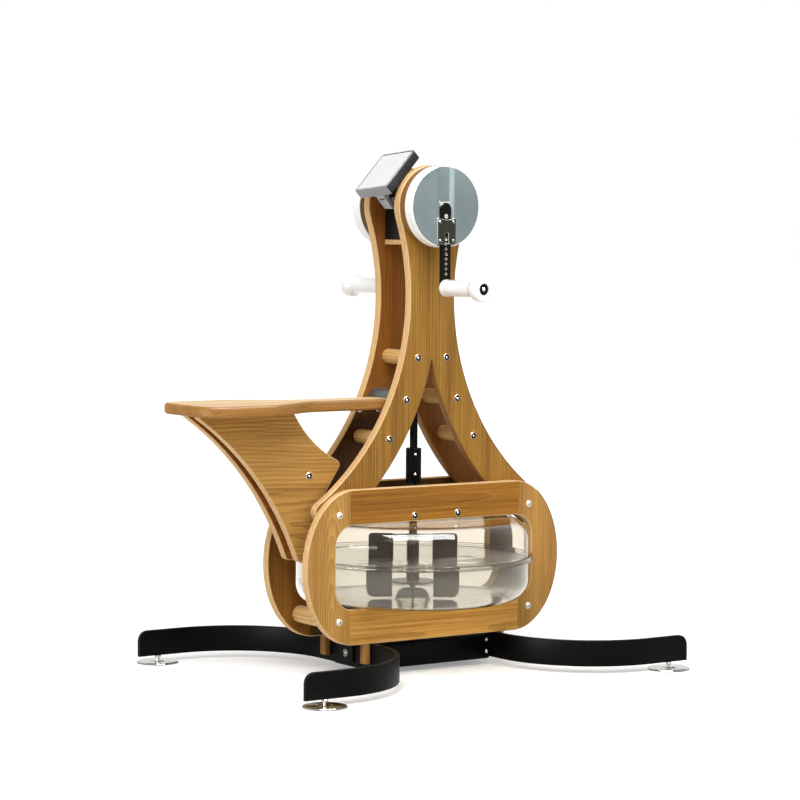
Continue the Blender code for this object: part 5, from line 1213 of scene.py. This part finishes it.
def boltHead(at, axis, side, head, washer, height):
    # Washer, then a dome r = R cos a, h = H sin a, then the hexagon socket sunk in its top.
    a = np.radians(np.linspace(12, 66, 6))
    dome = np.stack([head * np.cos(a), 0.0015 + height * np.sin(a) / math.sin(a[-1])], -1)
    rows = [(0.0, 0.0), (washer, 0.0), (washer, 0.0011), (washer - 0.0005, 0.0015), (head, 0.0015), *dome,
            (1.0, dome[-1][1]), (1.0, height * 0.32), (0.0, height * 0.32)]
    socket = len(rows) - 3
    return headShell(rows, at, axis, side, (socket, socket + 2), hexRows=(socket, socket + 1), hexAcross=head * 0.95)


def sleeveBolt(at, axis, side, outer, rim, head):
    # Bright rim, a black cup whose floor slopes down to the middle, and the round head of the bolt in it.
    a = np.radians(np.linspace(20, 90, 5))
    dome = np.stack([head * np.cos(a), 0.0012 + 0.0016 * np.sin(a)], -1)
    dome[-1, 0] = 0.0
    rows = [(0.0, 0.0), (outer, 0.0), (outer, 0.0016), (outer - 0.0004, 0.0020), (outer - rim, 0.0020),
            (outer - rim - 0.0010, 0.0012), (head + 0.0006, 0.0004), (head, 0.0004), (head, 0.0020), *dome]
    return headShell(rows, at, axis, side, (4, 7))


# bolts of the frame: sleeves in the panels, the bridge and the bracket, and dome heads at the frames' corners
frameBolts = []
for side, word in sides:
    x, z = seat["bolt"]
    bracketBolt = (x, side * (bracket["gap"] / 2 + bracket["thick"]), z)
    bridgeZ = bridge["low"] + bridge["thick"] / 2
    bridgeBolts = [(turn * bridge["boltX"], side * oblongOut, bridgeZ) for turn, end in ends]
    frameBolts += [sleeveBolt((x, side * outerY, z), "y", side, *sleeves["frame"]) for x, z in legBolts]
    frameBolts += [boltHead((x, side * oblongOut, z), "y", side, *heads["frame"]) for x, z in cornerBolts]
    frameBolts += [sleeveBolt(at, "y", side, *sleeves["frame"]) for at in bridgeBolts + [bracketBolt]]
plateBolts = []
for turn, end in ends:
    middle, half = solidBox("end_plate_" + end)
    at = (middle[0] + turn * half[0], 0.0, endPlate["boltZ"])
    plateBolts.append(boltHead(at, "x", turn, *heads["endPlate"]))
makePiece("endPlateBolts", plateBolts, ["dullSteel", "blackSteel"], "frame", sharp=30)
makePiece("frameBolts", frameBolts, ["steel", "blackSteel"], "frame", sharp=30)

# a thin strap with four screws holds the seat's tip from below
strap = {"x": (-0.200, -0.072), "half": 0.036, "thick": 0.0022, "screwX": (-0.185, -0.128), "screwY": 0.020}
strapLow = seat["low"] - fit - strap["thick"]
loop = boxLoop((strap["x"][1] - strap["x"][0]) / 2, strap["half"], 0.006)
points, faces, looks = plate(loop, strapLow, seat["low"] - fit, 0.0006, (sum(strap["x"]) / 2, 0, 0), steps=2, **flat)
screws = [boltHead((x, side * strap["screwY"], strapLow), "z", -1, *heads["strap"]) for x in strap["screwX"]
          for side, word in sides]
makePiece("seatStrap", [(points, faces, [2] * len(faces))] + screws, ["steel", "blackSteel", "blackPlastic"],
          "frame", sharp=30)
beamBolts = [boltHead((turn * beam["boltX"], side * outerY, z), "y", side, *heads["beam"])
             for side, word in sides for turn, end in ends for z in beam["boltZ"]]
makePiece("beamBolts", beamBolts, ["steel", "blackSteel"], "frame", sharp=30)

# set screws of the coupling, turned a little to the left
turn = math.radians(coupling["screwTurn"])
spin = np.array(((math.cos(turn), math.sin(turn), 0), (-math.sin(turn), math.cos(turn), 0), (0, 0, 1)))
setScrews = []
for z in coupling["screwZ"]:
    points, faces, looks = boltHead((0, -coupling["r"] + coupling["screwIn"], z), "y", -1, *heads["coupling"])
    setScrews.append((points @ spin, faces, looks))
makePiece("couplingScrews", setScrews, ["steel", "blackSteel"], "drive", sharp=30)

# screws of the crank: four in each cover, a flush one in the bar's round end, and the grip's bolt
crankScrews = {"coverX": 0.021, "coverUp": (0.009, 0.058), "endZ": 1.1950, "endR": 0.0056, "endSocket": 0.0042}
coverFace = coverBack + crank["coverT"]
coverScrews = [sleeveBolt((turn * crankScrews["coverX"], side * coverFace, crank["coverZ"][0] + up), "y", side,
                          *sleeves["cover"])
               for side, word in sides for turn, end in ends for up in crankScrews["coverUp"]]
makePiece("coverScrews", coverScrews, ["dullSteel", "blackMetal"], "crank", sharp=30)
for side, word in sides:
    # a flat ring round a dark hexagon, low enough to pass under the cover
    r, barFace = crankScrews["endR"], side * (crank["discFace"] - 0.0001)
    rows = [(0.0, 0.0), (r, 0.0), (r, 0.00012), (r - 0.0004, 0.0002), (1.0, 0.0002), (0.0, 0.00015)]
    screw = headShell(rows, (0, barFace, crankScrews["endZ"]), "y", side, (4, 5), hexRows=(4,),
                      hexAcross=crankScrews["endSocket"])
    makePiece("endScrew_" + word, [screw], ["steel", "rubber"], "bar_" + word, sharp=30)
    bolt = boltHead((0, side * (grip["endY"] - grip["capDrop"]), crank["gripZ"]), "y", side, *heads["grip"])
    makePiece("gripBolt_" + word, [bolt], ["steel", "rubber"], "bar_" + word, sharp=30)
print("bolts done")

# the crank axle and the drive shaft keep their solids
for node, look in (("crank_axle", "steel"), ("drive_shaft", "blackMetal")):
    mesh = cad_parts[node].data
    mesh.materials.clear()
    mesh.materials.append(finishes[look])
